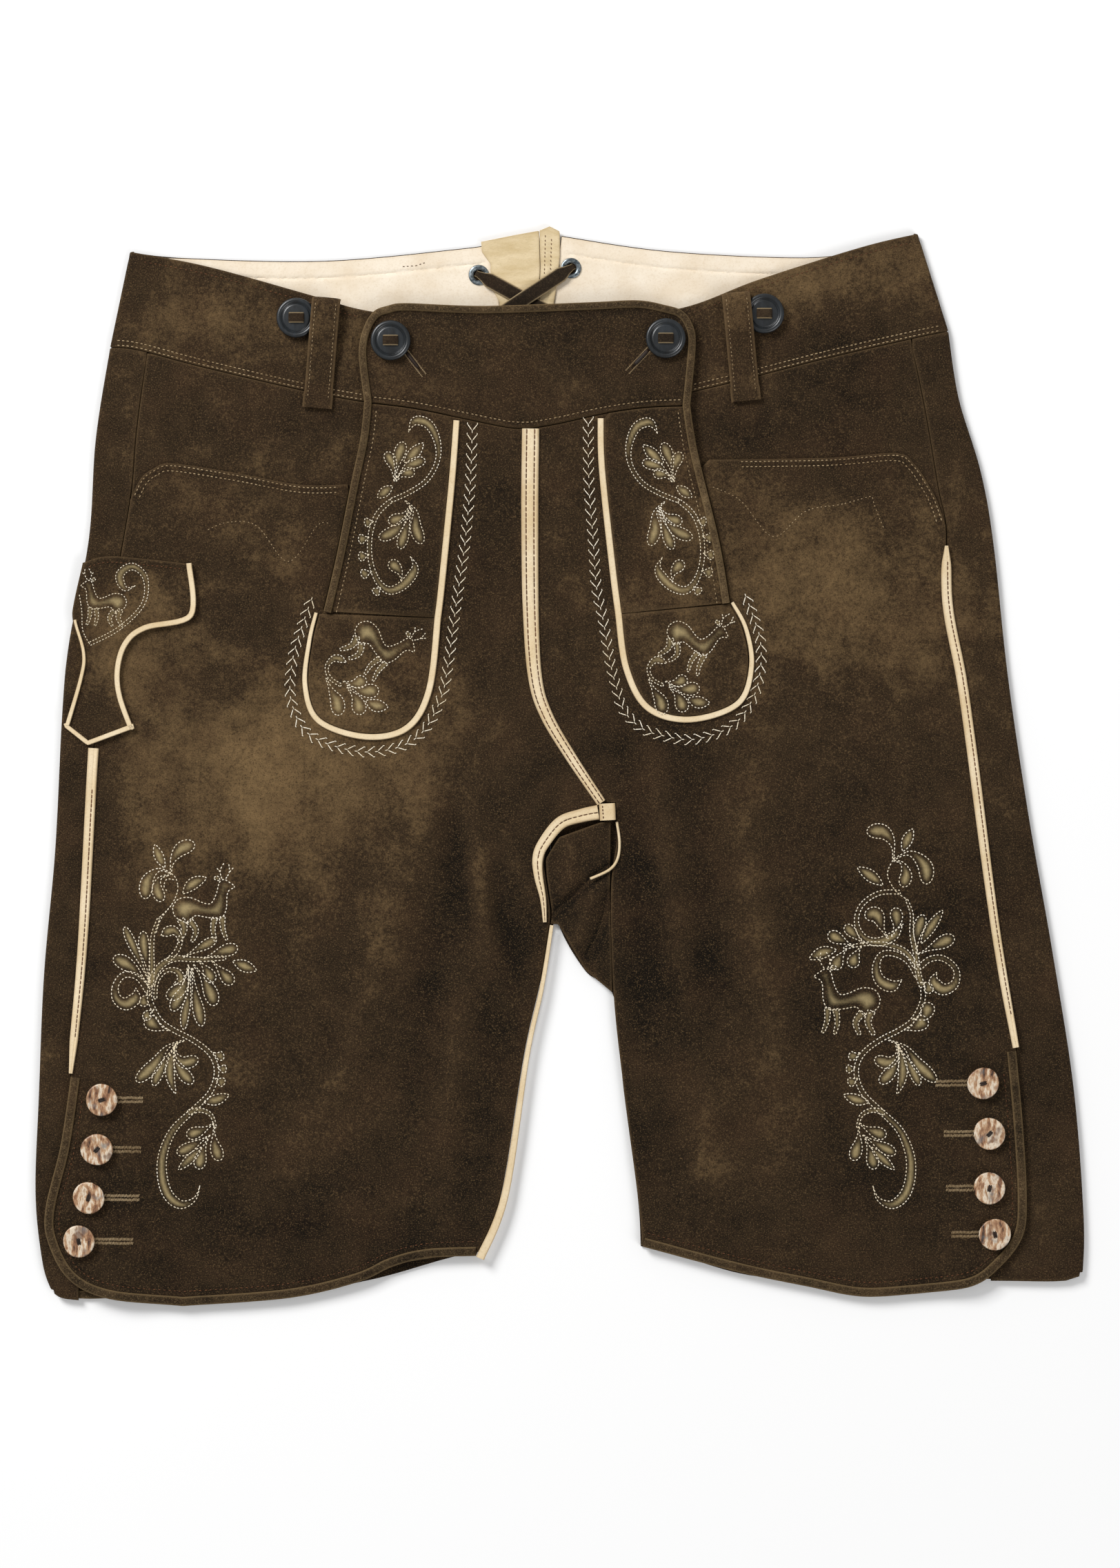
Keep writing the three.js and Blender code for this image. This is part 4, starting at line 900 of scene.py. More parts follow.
@dataclass
class Panel:
    """A piece of hide cut to an outline and laid on a surface."""

    name: str
    outline: Line
    under: Surface
    thickness: float = LEATHER
    grooves: tuple[Groove, ...] = ()
    embroidery: Embroidery | None = None
    holes: tuple[Line, ...] = ()
    pitch: float = 3.2
    round_over: float = 0.75
    fine: float = 1.15
    bulge: float = 0.0
    tone: float = 0.0

    def top(self, x: np.ndarray, y: np.ndarray) -> np.ndarray:
        """Give the height of the panel's face, away from its edge.

        Args:
            x: The points' x.
            y: The points' y.

        Returns:
            The height at each.
        """
        height = self.under(x, y) + self.thickness
        for groove in self.grooves:
            height = height - groove.depth * bell(distance_to(x, y, groove.line), groove.width)
        if self.embroidery:
            height = height + self.embroidery.relief(x, y)[0]
        return height

    def scattered(self, pitch: float) -> np.ndarray:
        """Spread points over the panel for its facets.

        Args:
            pitch: The usual spacing.

        Returns:
            The points, closer at edges, stitches and embroidery.
        """
        (x0, y0), (x1, y1) = self.outline.min(axis=0), self.outline.max(axis=0)
        closed = looped(self.outline)
        columns, rows = np.arange(x0, x1, pitch), np.arange(y0, y1, pitch * ROW_SHARE)
        x, y = (a.ravel() for a in np.meshgrid(columns, rows))
        x = x + np.where(np.round((y - y0) / (pitch * ROW_SHARE)) % 2 > 0, pitch / 2, 0)
        groups = [(x, y, 2.4)]
        if self.embroidery:
            columns, rows = np.arange(x0, x1, self.fine), np.arange(y0, y1, self.fine)
            x, y = (a.ravel() for a in np.meshgrid(columns, rows))
            near = self.embroidery.reach(x, y, EMBROIDERY_MARGIN)
            wide_x, wide_y, margin = groups[0]
            coarse = ~self.embroidery.reach(wide_x, wide_y, EMBROIDERY_MARGIN)
            groups = [(wide_x[coarse], wide_y[coarse], margin), (x[near], y[near], 2.0)]
        for groove in self.grooves:
            for offset in BESIDE_GROOVE:
                line = parallel(even(groove.line, 2.2), offset)
                groups.append((line[:, 0], line[:, 1], 1.5))
        for offset in INSIDE_EDGE:
            line = parallel(closed, offset)[:-1]
            groups.append((line[:, 0], line[:, 1], offset * 0.92))
        kept = []
        for x, y, margin in groups:
            within = inside(x, y, self.outline)
            x, y = x[within], y[within]
            clear = distance_to(x, y, closed) > margin
            kept.append(np.column_stack([x[clear], y[clear]]))
        return np.concatenate(kept)

    def facets(self, inner: np.ndarray) -> tuple[np.ndarray, np.ndarray]:
        """Join the outline, the holes and inner points into triangles.

        Args:
            inner: The points inside the outline.

        Returns:
            The points, the outline's and the holes' first, and the triangles.
        """
        loops = [self.outline, *self.holes]
        for hole in self.holes:
            inner = inner[~inside(*inner.T, hole)]
            inner = inner[distance_to(*inner.T, looped(hole)) > 0.25]
        points = np.concatenate([*loops, inner])
        edges, start = [], 0
        for loop in loops:
            count = len(loop)
            edges += [(start + i, start + (i + 1) % count) for i in range(count)]
            start += count
        found, _, faces, sources, _, _ = delaunay_2d_cdt([Vector(p) for p in points], edges, [], 0, 1e-4, True)
        back = np.array([origin[0] if origin else -1 for origin in sources])
        where = np.array([tuple(p) for p in found])
        extra = np.flatnonzero(back < 0)
        back[extra] = len(points) + np.arange(len(extra))
        points = np.concatenate([points, where[extra]])
        triangles = back[np.array(faces)]
        middle = points[triangles].mean(axis=1)
        keep = inside(middle[:, 0], middle[:, 1], self.outline)
        for hole in self.holes:
            keep &= ~inside(middle[:, 0], middle[:, 1], hole)
        return points, triangles[keep]

    def build(self) -> bpy.types.Object:
        """Make the panel: a fine face, a plainer underside and the cut edge between them.

        Returns:
            The panel.
        """
        inner = self.scattered(self.pitch)
        face, face_triangles = self.facets(inner)
        plain = inner[distance_to(*inner.T, looped(self.outline)) > 3][::UNDERSIDE_SHARE]
        base, base_triangles = self.facets(plain)
        loops = [self.outline, *self.holes]
        closed = [looped(loop) for loop in loops]
        x, y = face.T
        rim = distance_to(x, y, closed[0])
        height = self.top(x, y) - rounding(rim, min(self.round_over, self.thickness * 0.6))
        height += self.bulge * bell(rim - 1.8, 1.6)
        points = np.vstack([np.column_stack([face, height]), np.column_stack([base, self.under(*base.T)])])
        shift = len(face)
        faces = face_triangles.tolist() + (base_triangles[:, ::-1] + shift).tolist()
        start = 0
        for k, loop in enumerate(loops):
            count = len(loop)
            for i in range(count):
                a, b = start + i, start + (i + 1) % count
                wall = (b, a, a + shift, b + shift)
                faces.append(wall if (area_of(loop) > 0) == (k == 0) else wall[::-1])
            start += count
        piece = mesh_object(self.name, points, faces)
        self.colour(piece, points, len(face), rim)
        return piece

    def colour(self, piece: bpy.types.Object, points: np.ndarray, count: int, rim: np.ndarray) -> None:
        """Store how light, worn and raised the hide is over the panel, with painted shade beside its grooves.

        Args:
            piece: The panel's object.
            points: All its points.
            count: How many of them are on its face.
            rim: How far each of those is from the cut edge.
        """
        x, y = points[:, 0], points[:, 1]
        tone = dye_and_crease_shading(x, y) + self.tone
        glow = np.zeros(len(points))
        wear = np.zeros(len(points))
        wear[:count] = bell(rim, 0.9) * 0.55
        # painted shade: each groove darkens the tone beside it
        for groove in self.grooves:
            tone[:count] -= groove.shade * bell(distance_to(x[:count], y[:count], groove.line), 2.4)
        if self.embroidery:
            glow[:count] = self.embroidery.relief(x[:count], y[:count])[1]
        paint(piece, tone=tone, glow=glow, wear=wear)


# ---- strips swept along a line ----
def flat_profile(thickness: float, grooves: Sequence[float] = (), depth: float = 0.3) -> list[tuple[float, float]]:
    """Draw the section of a pressed strip.

    Args:
        thickness: Its height.
        grooves: Where stitches press it down, as shares of its width from -0.5 to 0.5.
        depth: How deep they press.

    Returns:
        Points of share of the width and height, over the top from one edge to the other.
    """
    shares = np.linspace(-0.5, 0.5, 25)
    section = [(-0.5, STRIP_FOOT)]
    for u in shares:
        edge = math.sqrt(max(0.0, 1 - max(0.0, (abs(u) - 0.36) / 0.14) ** 2))
        pressed = sum(depth * math.exp(-(((u - g) / 0.055) ** 2)) for g in grooves)
        section.append((u, STRIP_FOOT + (thickness - STRIP_FOOT) * (0.35 + 0.65 * edge) - pressed))
    return [*section, (0.5, STRIP_FOOT)]


def rolled_profile(thickness: float) -> list[tuple[float, float]]:
    """Draw the section of a strip that is rolled over an edge: a low half round."""
    turns = np.linspace(math.pi, 0, 17)
    heights = [thickness * math.sin(t) ** 0.8 if math.sin(t) > 0 else 0.0 for t in turns]
    return [(0.5 * math.cos(t), STRIP_FOOT + height) for t, height in zip(turns, heights)]


def sweep(name: str, line: Line, width: float | np.ndarray, surface: Surface,
          profile: Sequence[tuple[float, float]], pitch: float = 1.6) -> bpy.types.Object:
    """Lay a strip along a line.

    Args:
        name: The object's name.
        line: The middle of the strip.
        width: Its width, or its widths at its start and end.
        surface: What it lies on.
        profile: Its section, as shares of the width and heights.
        pitch: The spacing of its sections.

    Returns:
        The strip.
    """
    middle = even(line, pitch)
    wide = np.interp(np.linspace(0, 1, len(middle)), np.linspace(0, 1, np.size(width)), np.atleast_1d(width))
    across = normals(middle)
    underside = [(u, STRIP_FOOT) for u in np.linspace(0.5, -0.5, 5)[1:-1]]
    section = [*profile, *underside]
    rings = []
    for u, h in section:
        place = middle + across * (u * wide)[:, None]
        rings.append(np.column_stack([place, surface(*place.T) + h]))
    grid = np.stack(rings, axis=1)
    count, size = grid.shape[:2]
    faces = []
    for j in range(count - 1):
        for i in range(size):
            a, b = j * size + i, j * size + (i + 1) % size
            faces.append((a, a + size, b + size, b))
    faces.append(tuple(range(size)))
    faces.append(tuple((count - 1) * size + i for i in reversed(range(size))))
    piece = mesh_object(name, grid.reshape(-1, 3), faces, 60)
    x, y = grid.reshape(-1, 3)[:, :2].T
    edge = np.abs(np.array([u for u, _ in profile] + [0.5] * len(underside)))
    paint(piece, tone=dye_and_crease_shading(x, y), wear=np.tile(ramp(edge, 0.25, 0.5), count), glow=np.zeros(len(x)))
    return piece


# ---- thread ----
@dataclass
class Thread:
    """Stitches of one thread, gathered into one mesh."""

    name: str
    width: float = 0.55
    seed: int = 7
    starts: list[np.ndarray] = field(default_factory=list)
    ends: list[np.ndarray] = field(default_factory=list)

    def __post_init__(self) -> None:
        """Start the hand's small unevenness."""
        self.random = np.random.default_rng(self.seed)

    def stroke(self, a: np.ndarray, b: np.ndarray, surface: Surface, lift: float = 0.16) -> None:
        """Add stitches between pairs of points on a surface.

        Args:
            a: Where they start.
            b: Where they end.
            surface: What they are sewn on.
            lift: How high the thread's middle stands.
        """
        a, b = np.atleast_2d(a), np.atleast_2d(b)
        self.starts.append(np.column_stack([a, surface(*a.T) + lift]))
        self.ends.append(np.column_stack([b, surface(*b.T) + lift]))

    def run(self, line: Line, surface: Surface, pitch: float = 2.2, share: float = 0.68, lift: float = 0.16) -> None:
        """Sew along a line.

        Args:
            line: The line.
            surface: What it is sewn on.
            pitch: The distance from stitch to stitch.
            share: How much of the pitch the thread shows.
            lift: How high the thread's middle stands.
        """
        total = lengths(line)[-1]
        count = max(1, int(round(total / pitch)))
        fine = even(line, min(pitch / 4, total / 4))
        run = lengths(fine)
        at = (np.arange(count) + 0.5) * total / count + self.random.normal(0, 0.05, count) * pitch
        half = pitch * share / 2 * (1 + self.random.normal(0, 0.06, count))
        ends = []
        for place in (at - half, at + half):
            ends.append(np.column_stack([np.interp(place, run, fine[:, 0]), np.interp(place, run, fine[:, 1])]))
        self.stroke(*ends, surface, lift)

    def trace(self, work: Embroidery, surface: Surface, pitch: float, share: float) -> None:
        """Sew round every shape of an embroidery, as run does."""
        for line, closed in work.drawn:
            self.run(looped(line) if closed else line, surface, pitch, share)

    def build(self) -> bpy.types.Object:
        """Make the mesh: each stitch is a short five-sided bead that tapers at its ends.

        Returns:
            The stitches.
        """
        a, b = np.concatenate(self.starts), np.concatenate(self.ends)
        run = b - a
        size = np.maximum(np.linalg.norm(run, axis=1), 1e-6)[:, None]
        run = run / size
        side = np.column_stack([-run[:, 1], run[:, 0], np.zeros(len(run))])
        side /= np.maximum(np.linalg.norm(side, axis=1), 1e-6)[:, None]
        up = np.cross(run, side)
        radius = self.width / 2
        turns = np.arange(5) * 2 * math.pi / 5 + math.pi / 10
        rings = [a[:, None, :]]
        for share in (0.22, 0.78):
            centre = a + run * size * share
            spokes = [side * math.cos(t) * radius + up * math.sin(t) * radius * 0.8 for t in turns]
            rings.append(np.stack([centre + spoke for spoke in spokes], axis=1))
        rings.append(b[:, None, :])
        points = np.concatenate(rings, axis=1)
        faces = [(0, 1 + (i + 1) % 5, 1 + i) for i in range(5)]
        faces += [(1 + i, 1 + (i + 1) % 5, 6 + (i + 1) % 5, 6 + i) for i in range(5)]
        faces += [(11, 6 + i, 6 + (i + 1) % 5) for i in range(5)]
        every = [tuple(k * 12 + v for v in face) for k in range(len(a)) for face in faces]
        return mesh_object(self.name, points.reshape(-1, 3), every, 80)


def feather(thread: Thread, line: Line, surface: Surface, pitch: float = 5.9, reach: float = 2.9) -> None:
    """Sew a feather stitch: arms that meet in a spine, each pair a pitch further on.

    Args:
        thread: The thread.
        line: The spine.
        surface: What it is sewn on.
        pitch: The distance from pair to pair.
        reach: How far the arms stand to each side.
    """
    spine = even(line, pitch)
    across, ahead = normals(spine), np.gradient(spine, axis=0)
    ahead /= np.hypot(*ahead.T)[:, None]
    for side in (-1, 1):
        tip = spine + across * reach * side - ahead * 2.4
        foot = spine + ahead * 1.2 + across * 0.25 * side
        thread.stroke(tip, foot, surface, 0.2)
        thread.stroke(tip - ahead * 0.9, tip + ahead * 0.5, surface, 0.3)
    thread.stroke(spine + ahead * 0.9, spine + ahead * 3.0, surface, 0.14)


# ---- finishes ----
def shade(code: str) -> Colour:
    """Turn a written colour such as 3a2c1e into the renderer's own light values."""
    parts = [int(code[i:i + 2], 16) / 255 for i in (0, 2, 4)]
    return (*(p / 12.92 if p <= 0.04045 else ((p + 0.055) / 1.055) ** 2.4 for p in parts), 1.0)


class Socket:
    """A node's output, on which sums can be written as on a number."""

    def __init__(self, shop: "NodeShop", output: bpy.types.NodeSocket) -> None:
        """Wrap an output."""
        self.shop = shop
        self.output = output

    def _math(self, operation: str, *values: "Socket | float", clamp: bool = False) -> "Socket":
        """Add a Math node."""
        return self.shop.node("ShaderNodeMath", {"operation": operation, "use_clamp": clamp},
                              dict(enumerate(values)))

    def __add__(self, other: "Socket | float") -> "Socket":
        """Add."""
        return self._math("ADD", self, other)

    def __radd__(self, other: float) -> "Socket":
        """Add, from the right."""
        return self._math("ADD", other, self)

    def __sub__(self, other: "Socket | float") -> "Socket":
        """Take away."""
        return self._math("SUBTRACT", self, other)

    def __rsub__(self, other: float) -> "Socket":
        """Take away, from the right."""
        return self._math("SUBTRACT", other, self)

    def __mul__(self, other: "Socket | float") -> "Socket":
        """Multiply."""
        return self._math("MULTIPLY", self, other)

    def __rmul__(self, other: float) -> "Socket":
        """Multiply, from the right."""
        return self._math("MULTIPLY", other, self)

    def between(self, low: float, high: float) -> "Socket":
        """Rise from 0 at low to 1 at high, held within those."""
        return ((self - low) * (1 / (high - low))).held()

    def held(self) -> "Socket":
        """Hold within 0 and 1."""
        return self._math("ADD", self, 0.0, clamp=True)


class NodeShop:
    """Builds one material's nodes."""

    def __init__(self, name: str) -> None:
        """Start a material with its shader."""
        self.material = bpy.data.materials.new(name)
        self.material.use_nodes = True
        self.tree = self.material.node_tree
        self.shader = self.tree.nodes["Principled BSDF"]

    def node(self, kind: str, settings: dict[str, object] | None = None,
             inputs: dict[int | str, object] | None = None, output: int | str = 0) -> Socket:
        """Add a node.

        Args:
            kind: Its type.
            settings: Its own settings; "stops" gives a ramp's places and colours.
            inputs: Values or links of its sockets.
            output: Which output to return.

        Returns:
            That output.
        """
        made = self.tree.nodes.new(kind)
        for key, value in (settings or {}).items():
            if key == "stops":
                elements = made.color_ramp.elements
                while len(elements) < len(value):
                    elements.new(0.5)
                for element, (place, colour) in zip(elements, value):
                    element.position = place
                    element.color = colour
            else:
                setattr(made, key, value)
        for key, value in (inputs or {}).items():
            self.feed(made.inputs[key], value)
        return Socket(self, made.outputs[output])

    def feed(self, socket: bpy.types.NodeSocket, value: object) -> None:
        """Link a socket, or set it where the value is a plain one."""
        if isinstance(value, Socket):
            self.tree.links.new(value.output, socket)
        else:
            socket.default_value = value

    def place(self, stretch: tuple[float, float, float] = (1, 1, 1)) -> Socket:
        """Give the place on the object, in metres, perhaps stretched."""
        where = self.node("ShaderNodeTexCoord", output="Object")
        return self.node("ShaderNodeVectorMath", {"operation": "MULTIPLY"}, {0: where, 1: stretch})

    def noise(self, where: Socket, scale: float, detail: float = 3.0, rough: float = 0.55) -> Socket:
        """Give a soft noise with so many features to the metre."""
        return self.node("ShaderNodeTexNoise", inputs={"Vector": where, "Scale": scale, "Detail": detail,
                                                       "Roughness": rough})

    def mix(self, factor: Socket | float, low: Socket | Colour, high: Socket | Colour) -> Socket:
        """Mix two colours."""
        return self.node("ShaderNodeMix", {"data_type": "RGBA"}, {0: factor, 6: low, 7: high}, 2)

    def painted(self, name: str) -> Socket:
        """Read a value stored on the mesh."""
        return self.node("ShaderNodeAttribute", {"attribute_name": name}, output="Fac")

    def relief(self, height: Socket, depth: float, strength: float) -> Socket:
        """Turn heights into a bump of a depth in metres."""
        return self.node("ShaderNodeBump", inputs={"Strength": strength, "Distance": depth, "Height": height})

    def finish(self, colour: Socket, rough: Socket | float, normal: Socket | None = None,
               **constants: float | Colour) -> bpy.types.Material:
        """Connect the shader.

        Args:
            colour: The base colour.
            rough: The roughness.
            normal: The bumped normal, if any.
            constants: Other sockets' plain values, underscores standing for spaces.

        Returns:
            The material.
        """
        self.feed(self.shader.inputs["Base Color"], colour)
        self.feed(self.shader.inputs["Roughness"], rough)
        if normal:
            self.feed(self.shader.inputs["Normal"], normal)
        for key, value in constants.items():
            self.feed(self.shader.inputs[key.replace("_", " ")], value)
        return self.material


@dataclass(frozen=True)
class Suede:
    """Brushed hide: blotchily dyed, with painted shade in creases and beside grooves, a speckled nap, pale worn edges
    and olive swellings.
    """

    name: str
    dark: str = "110c07"
    middle: str = "35281a"
    light: str = "7a6242"
    worn: str = "5f4c34"
    swollen: str = "ab986e"

    def make(self) -> bpy.types.Material:
        """Make the material.

        Returns:
            The material.
        """
        shop = NodeShop(self.name)
        where = shop.place()
        broad = shop.noise(where, 14, 4, 0.6)
        mottled = shop.noise(where, 75, 3, 0.6)
        nap = shop.noise(where, 420, 2, 0.6)
        grain = shop.noise(where, 1250, 2, 0.7)
        # the painted tone holds the dyed patches and the painted shade and light of creases and grooves
        tone = shop.painted("tone") + (broad - 0.5) * 0.75 + (mottled - 0.5) * 0.55 + (nap - 0.5) * 0.5
        stops = [(0.0, shade(self.dark)), (0.45, shade(self.middle)), (1.0, shade(self.light))]
        base = shop.node("ShaderNodeValToRGB", {"stops": stops}, {"Fac": tone.held()})
        warm = shop.mix(shop.noise(where, 30, 2).between(0.45, 0.75) * 0.25, base, shade("453020"))
        speck = shop.mix(grain.between(0.54, 0.74) * 0.55, warm, shade(self.light))
        pit = shop.mix(grain.between(0.47, 0.28) * 0.75, speck, shade(self.dark))
        glow = shop.painted("glow")
        swollen = shop.mix((glow * (0.75 + 0.7 * (nap - 0.5))).held(), pit, shade(self.swollen))
        worn = shop.mix((shop.painted("wear") * (0.55 + mottled * 0.5)).held(), swollen, shade(self.worn))
        height = nap * 0.5 + grain * 0.5
        return shop.finish(worn, 0.95, shop.relief(height, 0.0005, 0.55), Sheen_Weight=0.12,
                           Sheen_Roughness=0.55, Sheen_Tint=shade("8a7557"), Specular_IOR_Level=0.12)


@dataclass(frozen=True)
class SoftHide:
    """Undyed hide with a short nap, a little soiled, its cut edges browner."""

    name: str
    pale: str
    deep: str
    edge: str
    streak: float = 1.0

    def make(self) -> bpy.types.Material:
        """Make the material.

        Returns:
            The material.
        """
        shop = NodeShop(self.name)
        where = shop.place((1, 1 / self.streak, 1))
        cloud = shop.noise(where, 45, 3, 0.6)
        fibre = shop.noise(where, 900, 3, 0.65)
        base = shop.mix(cloud.between(0.35, 0.7), shade(self.pale), shade(self.deep))
        fine = shop.mix(fibre.between(0.5, 0.75) * 0.35, base, shade(self.edge))
        worn = shop.mix((shop.painted("wear") * (0.35 + cloud * 0.5)).held(), fine, shade(self.edge))
        return shop.finish(worn, 0.88, shop.relief(fibre, 0.0003, 0.45), Sheen_Weight=0.1,
                           Specular_IOR_Level=0.2)


@dataclass(frozen=True)
class ThreadFinish:
    """Sewing thread."""

    name: str
    pale: str
    deep: str

    def make(self) -> bpy.types.Material:
        """Make the material.

        Returns:
            The material.
        """
        shop = NodeShop(self.name)
        where = shop.place()
        twist = shop.noise(where, 2400, 1)
        colour = shop.mix(shop.noise(where, 60, 2).between(0.3, 0.7), shade(self.pale), shade(self.deep))
        return shop.finish(shop.mix(twist.between(0.5, 0.7) * 0.4, colour, shade(self.deep)), 0.6,
                           shop.relief(twist, 0.0002, 0.4), Specular_IOR_Level=0.35)


@dataclass(frozen=True)
class DarkHorn:
    """Polished dark horn with faint cloudy streaks."""

    name: str = "dark_horn"

    def make(self) -> bpy.types.Material:
        """Make the material.

        Returns:
            The material.
        """
        shop = NodeShop(self.name)
        where = shop.place((1, 0.35, 1))
        cloud = shop.noise(where, 160, 3, 0.6)
        colour = shop.mix(cloud.between(0.35, 0.75), shade("0c0f11"), shade("23292e"))
        return shop.finish(colour, 0.28 + 0.25 * shop.noise(where, 700, 2), shop.relief(cloud, 0.0002, 0.15),
                           Coat_Weight=0.25, Coat_Roughness=0.2)


@dataclass(frozen=True)
class StagHorn:
    """A slice of antler: cream and tan streaks, a grey pith and brown bark."""

    name: str = "stag_horn"

    def make(self) -> bpy.types.Material:
        """Make the material.

        Returns:
            The material.
        """
        shop = NodeShop(self.name)
        where = shop.place((1.0, 0.30, 1.0))
        bent = shop.node("ShaderNodeVectorMath", {"operation": "MULTIPLY_ADD"},
                         {0: shop.node("ShaderNodeTexNoise", inputs={"Vector": where, "Scale": 90.0}, output=1),
                          1: (0.006, 0.006, 0.0), 2: where})
        streak = shop.noise(bent, 330, 4, 0.65)
        stops = [(0.32, shade("35241a")), (0.42, shade("8f6547")), (0.50, shade("bb9672")), (0.58, shade("e2d3bd")),
                 (0.72, shade("9c7550"))]
        base = shop.node("ShaderNodeValToRGB", {"stops": stops}, {"Fac": streak})
        pith = shop.noise(shop.place(), 85, 3, 0.6)
        grey = shop.mix(pith.between(0.56, 0.68) * 0.75, base, shade("6f6e6d"))
        bark = shop.mix(shop.noise(shop.place(), 130, 2).between(0.60, 0.70) * 0.7, grey, shade("5a3119"))
        return shop.finish(bark, 0.38, shop.relief(streak, 0.0004, 0.5), Coat_Weight=0.2, Coat_Roughness=0.3)


@dataclass(frozen=True)
class Nickel:
    """Worn plated metal."""

    name: str = "nickel"

    def make(self) -> bpy.types.Material:
        """Make the material.

        Returns:
            The material.
        """
        shop = NodeShop(self.name)
        rub = shop.noise(shop.place(), 600, 3)
        colour = shop.mix(rub.between(0.4, 0.7), shade("5d666b"), shade("a9b2b6"))
        return shop.finish(colour, 0.25 + 0.25 * rub, Metallic=0.9)


@dataclass(frozen=True)
class PaleFloor:
    """Plain white paper under the garment."""

    name: str = "floor"

    def make(self) -> bpy.types.Material:
        """Make the material.

        Returns:
            The material.
        """
        shop = NodeShop(self.name)
        colour = shop.mix(shop.noise(shop.place(), 3, 2) * 0.15, shade("fdfdfd"), shade("f8f8f7"))
        return shop.finish(colour, 0.95, Specular_IOR_Level=0.1)


FINISHES = {
    "suede": Suede("brown_suede"),
    "edge": Suede("edge_suede", middle="4a3b28", light="8a7453", worn="6d5a3e"),
    "lace": Suede("lace_suede", dark="17120c", middle="2b2219", light="4c3e2c", worn="b09a76"),
    "cream": SoftHide("cream_piping", "ebd8b6", "dcc49b", "ad9066"),
    "lining": SoftHide("pale_lining", "f4e7d3", "e9d8bf", "cdb592"),
    "insert": SoftHide("pale_insert", "e3cfa9", "cdb68a", "a28a62", 0.3),
    "cream_thread": ThreadFinish("cream_thread", "faf1de", "e2d1b0"),
    "tan_thread": ThreadFinish("tan_thread", "b39c78", "8a7250"),
    "brown_thread": ThreadFinish("brown_thread", "6e4527", "4c2f19"),
    "dark_thread": ThreadFinish("dark_thread", "2c1c11", "1a110a"),
    "dark_horn": DarkHorn(),
    "stag_horn": StagHorn(),
    "nickel": Nickel(),
    "floor": PaleFloor(),
}


LEAST_AREA_SHARE = 0.31


class Wardrobe:
    """Makes each finish once, and gives pieces their finish, their body and the nodes they stand for."""

    def __init__(self) -> None:
        """Start with nothing made."""
        self.made: dict[str, bpy.types.Material] = {}

    def material(self, finish: str) -> bpy.types.Material:
        """Give a finish's material, made on its first use."""
        if finish not in self.made:
            self.made[finish] = FINISHES[finish].make()
        return self.made[finish]

    def dress(self, piece: bpy.types.Object, finish: str, *nodes: str) -> bpy.types.Object:
        """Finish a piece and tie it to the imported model.

        Args:
            piece: The piece.
            finish: The finish's name.
            nodes: The nodes that it stands for.

        Returns:
            The piece.
        """
        piece.data.materials.append(self.material(finish))
        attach(piece, "root")
        if nodes:
            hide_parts(*nodes)
        log.info("%s: %d faces", piece.name, len(piece.data.polygons))
        return piece

    def declare(self, piece: bpy.types.Object, outline: Line, rests_on: Sequence[str], turnings: float = 8.0,
                held: str = "laid") -> None:
        """State the cut of a sheet from its outline and the turnings sewn in round it.

        Args:
            piece: The sheet; not used.
            outline: Its outline as it lies, in millimetres.
            rests_on: What it lies on.
            turnings: The hide turned or sewn in across each direction, both edges together.
            held: How it is held; not used.
        """
        (x0, y0), (x1, y1) = outline.min(axis=0), outline.max(axis=0)
        width, length = x1 - x0 + turnings, y1 - y0 + turnings
        border = float(np.sum(np.hypot(*(np.roll(outline, -1, axis=0) - outline).T)))
        area = min(abs(area_of(outline)) + border * turnings / 2, width * length)
        area = max(area, LEAST_AREA_SHARE * width * length)
        width * MM
        length * MM
        list(rests_on)
        area * MM * MM

    def cut(self, panel: Panel, finish: str, node: str, rests_on: Sequence[str], turnings: float = 8.0,
            held: str = "laid") -> None:
        """Make a panel, finish it and work out its cut.

        Args:
            panel: The panel.
            finish: The finish's name.
            node: The node that it stands for.
            rests_on: What it lies on.
            turnings: The hide turned or sewn in across each direction.
            held: How it is held.
        """
        piece = self.dress(panel.build(), finish, node)
        self.declare(piece, panel.outline, rests_on, turnings, held)


# ---- the pieces that turn round the side folds ----
def fold_row(side: int, top_line: Line, edge: np.ndarray, bottom_line: Line, turns: np.ndarray) -> np.ndarray:
    """Draw one row of a piece that turns round a side fold.

    Args:
        side: Which half, -1 or 1.
        top_line: The row over the front, in the plane.
        edge: The side fold's own point.
        bottom_line: The row underneath, in the plane.
        turns: Directions round the fold, in degrees.

    Returns:
        For each point its x, y, z and the inward direction's x and z.
    """
    radius = (float(under_layer(*edge)) + LEATHER) / 2
    x, y = np.array(top_line).T
    top = np.column_stack([x, y, under_layer(x, y) + LEATHER, 0 * x, 0 * x - 1])
    c, s = np.cos(np.radians(turns)), np.sin(np.radians(turns))
    fold = np.column_stack([edge[0] - side * radius * (1 + c), edge[1] + 0 * c, radius * (1 + s), side * c, -s])
    x, y = np.array(bottom_line).T
    low = np.column_stack([x, y, 0 * x, 0 * x, 0 * x + 1])
    return np.concatenate([top, fold, low])


TURNS = np.linspace(90, 270, 15)
EDGE_RADIUS = 0.75


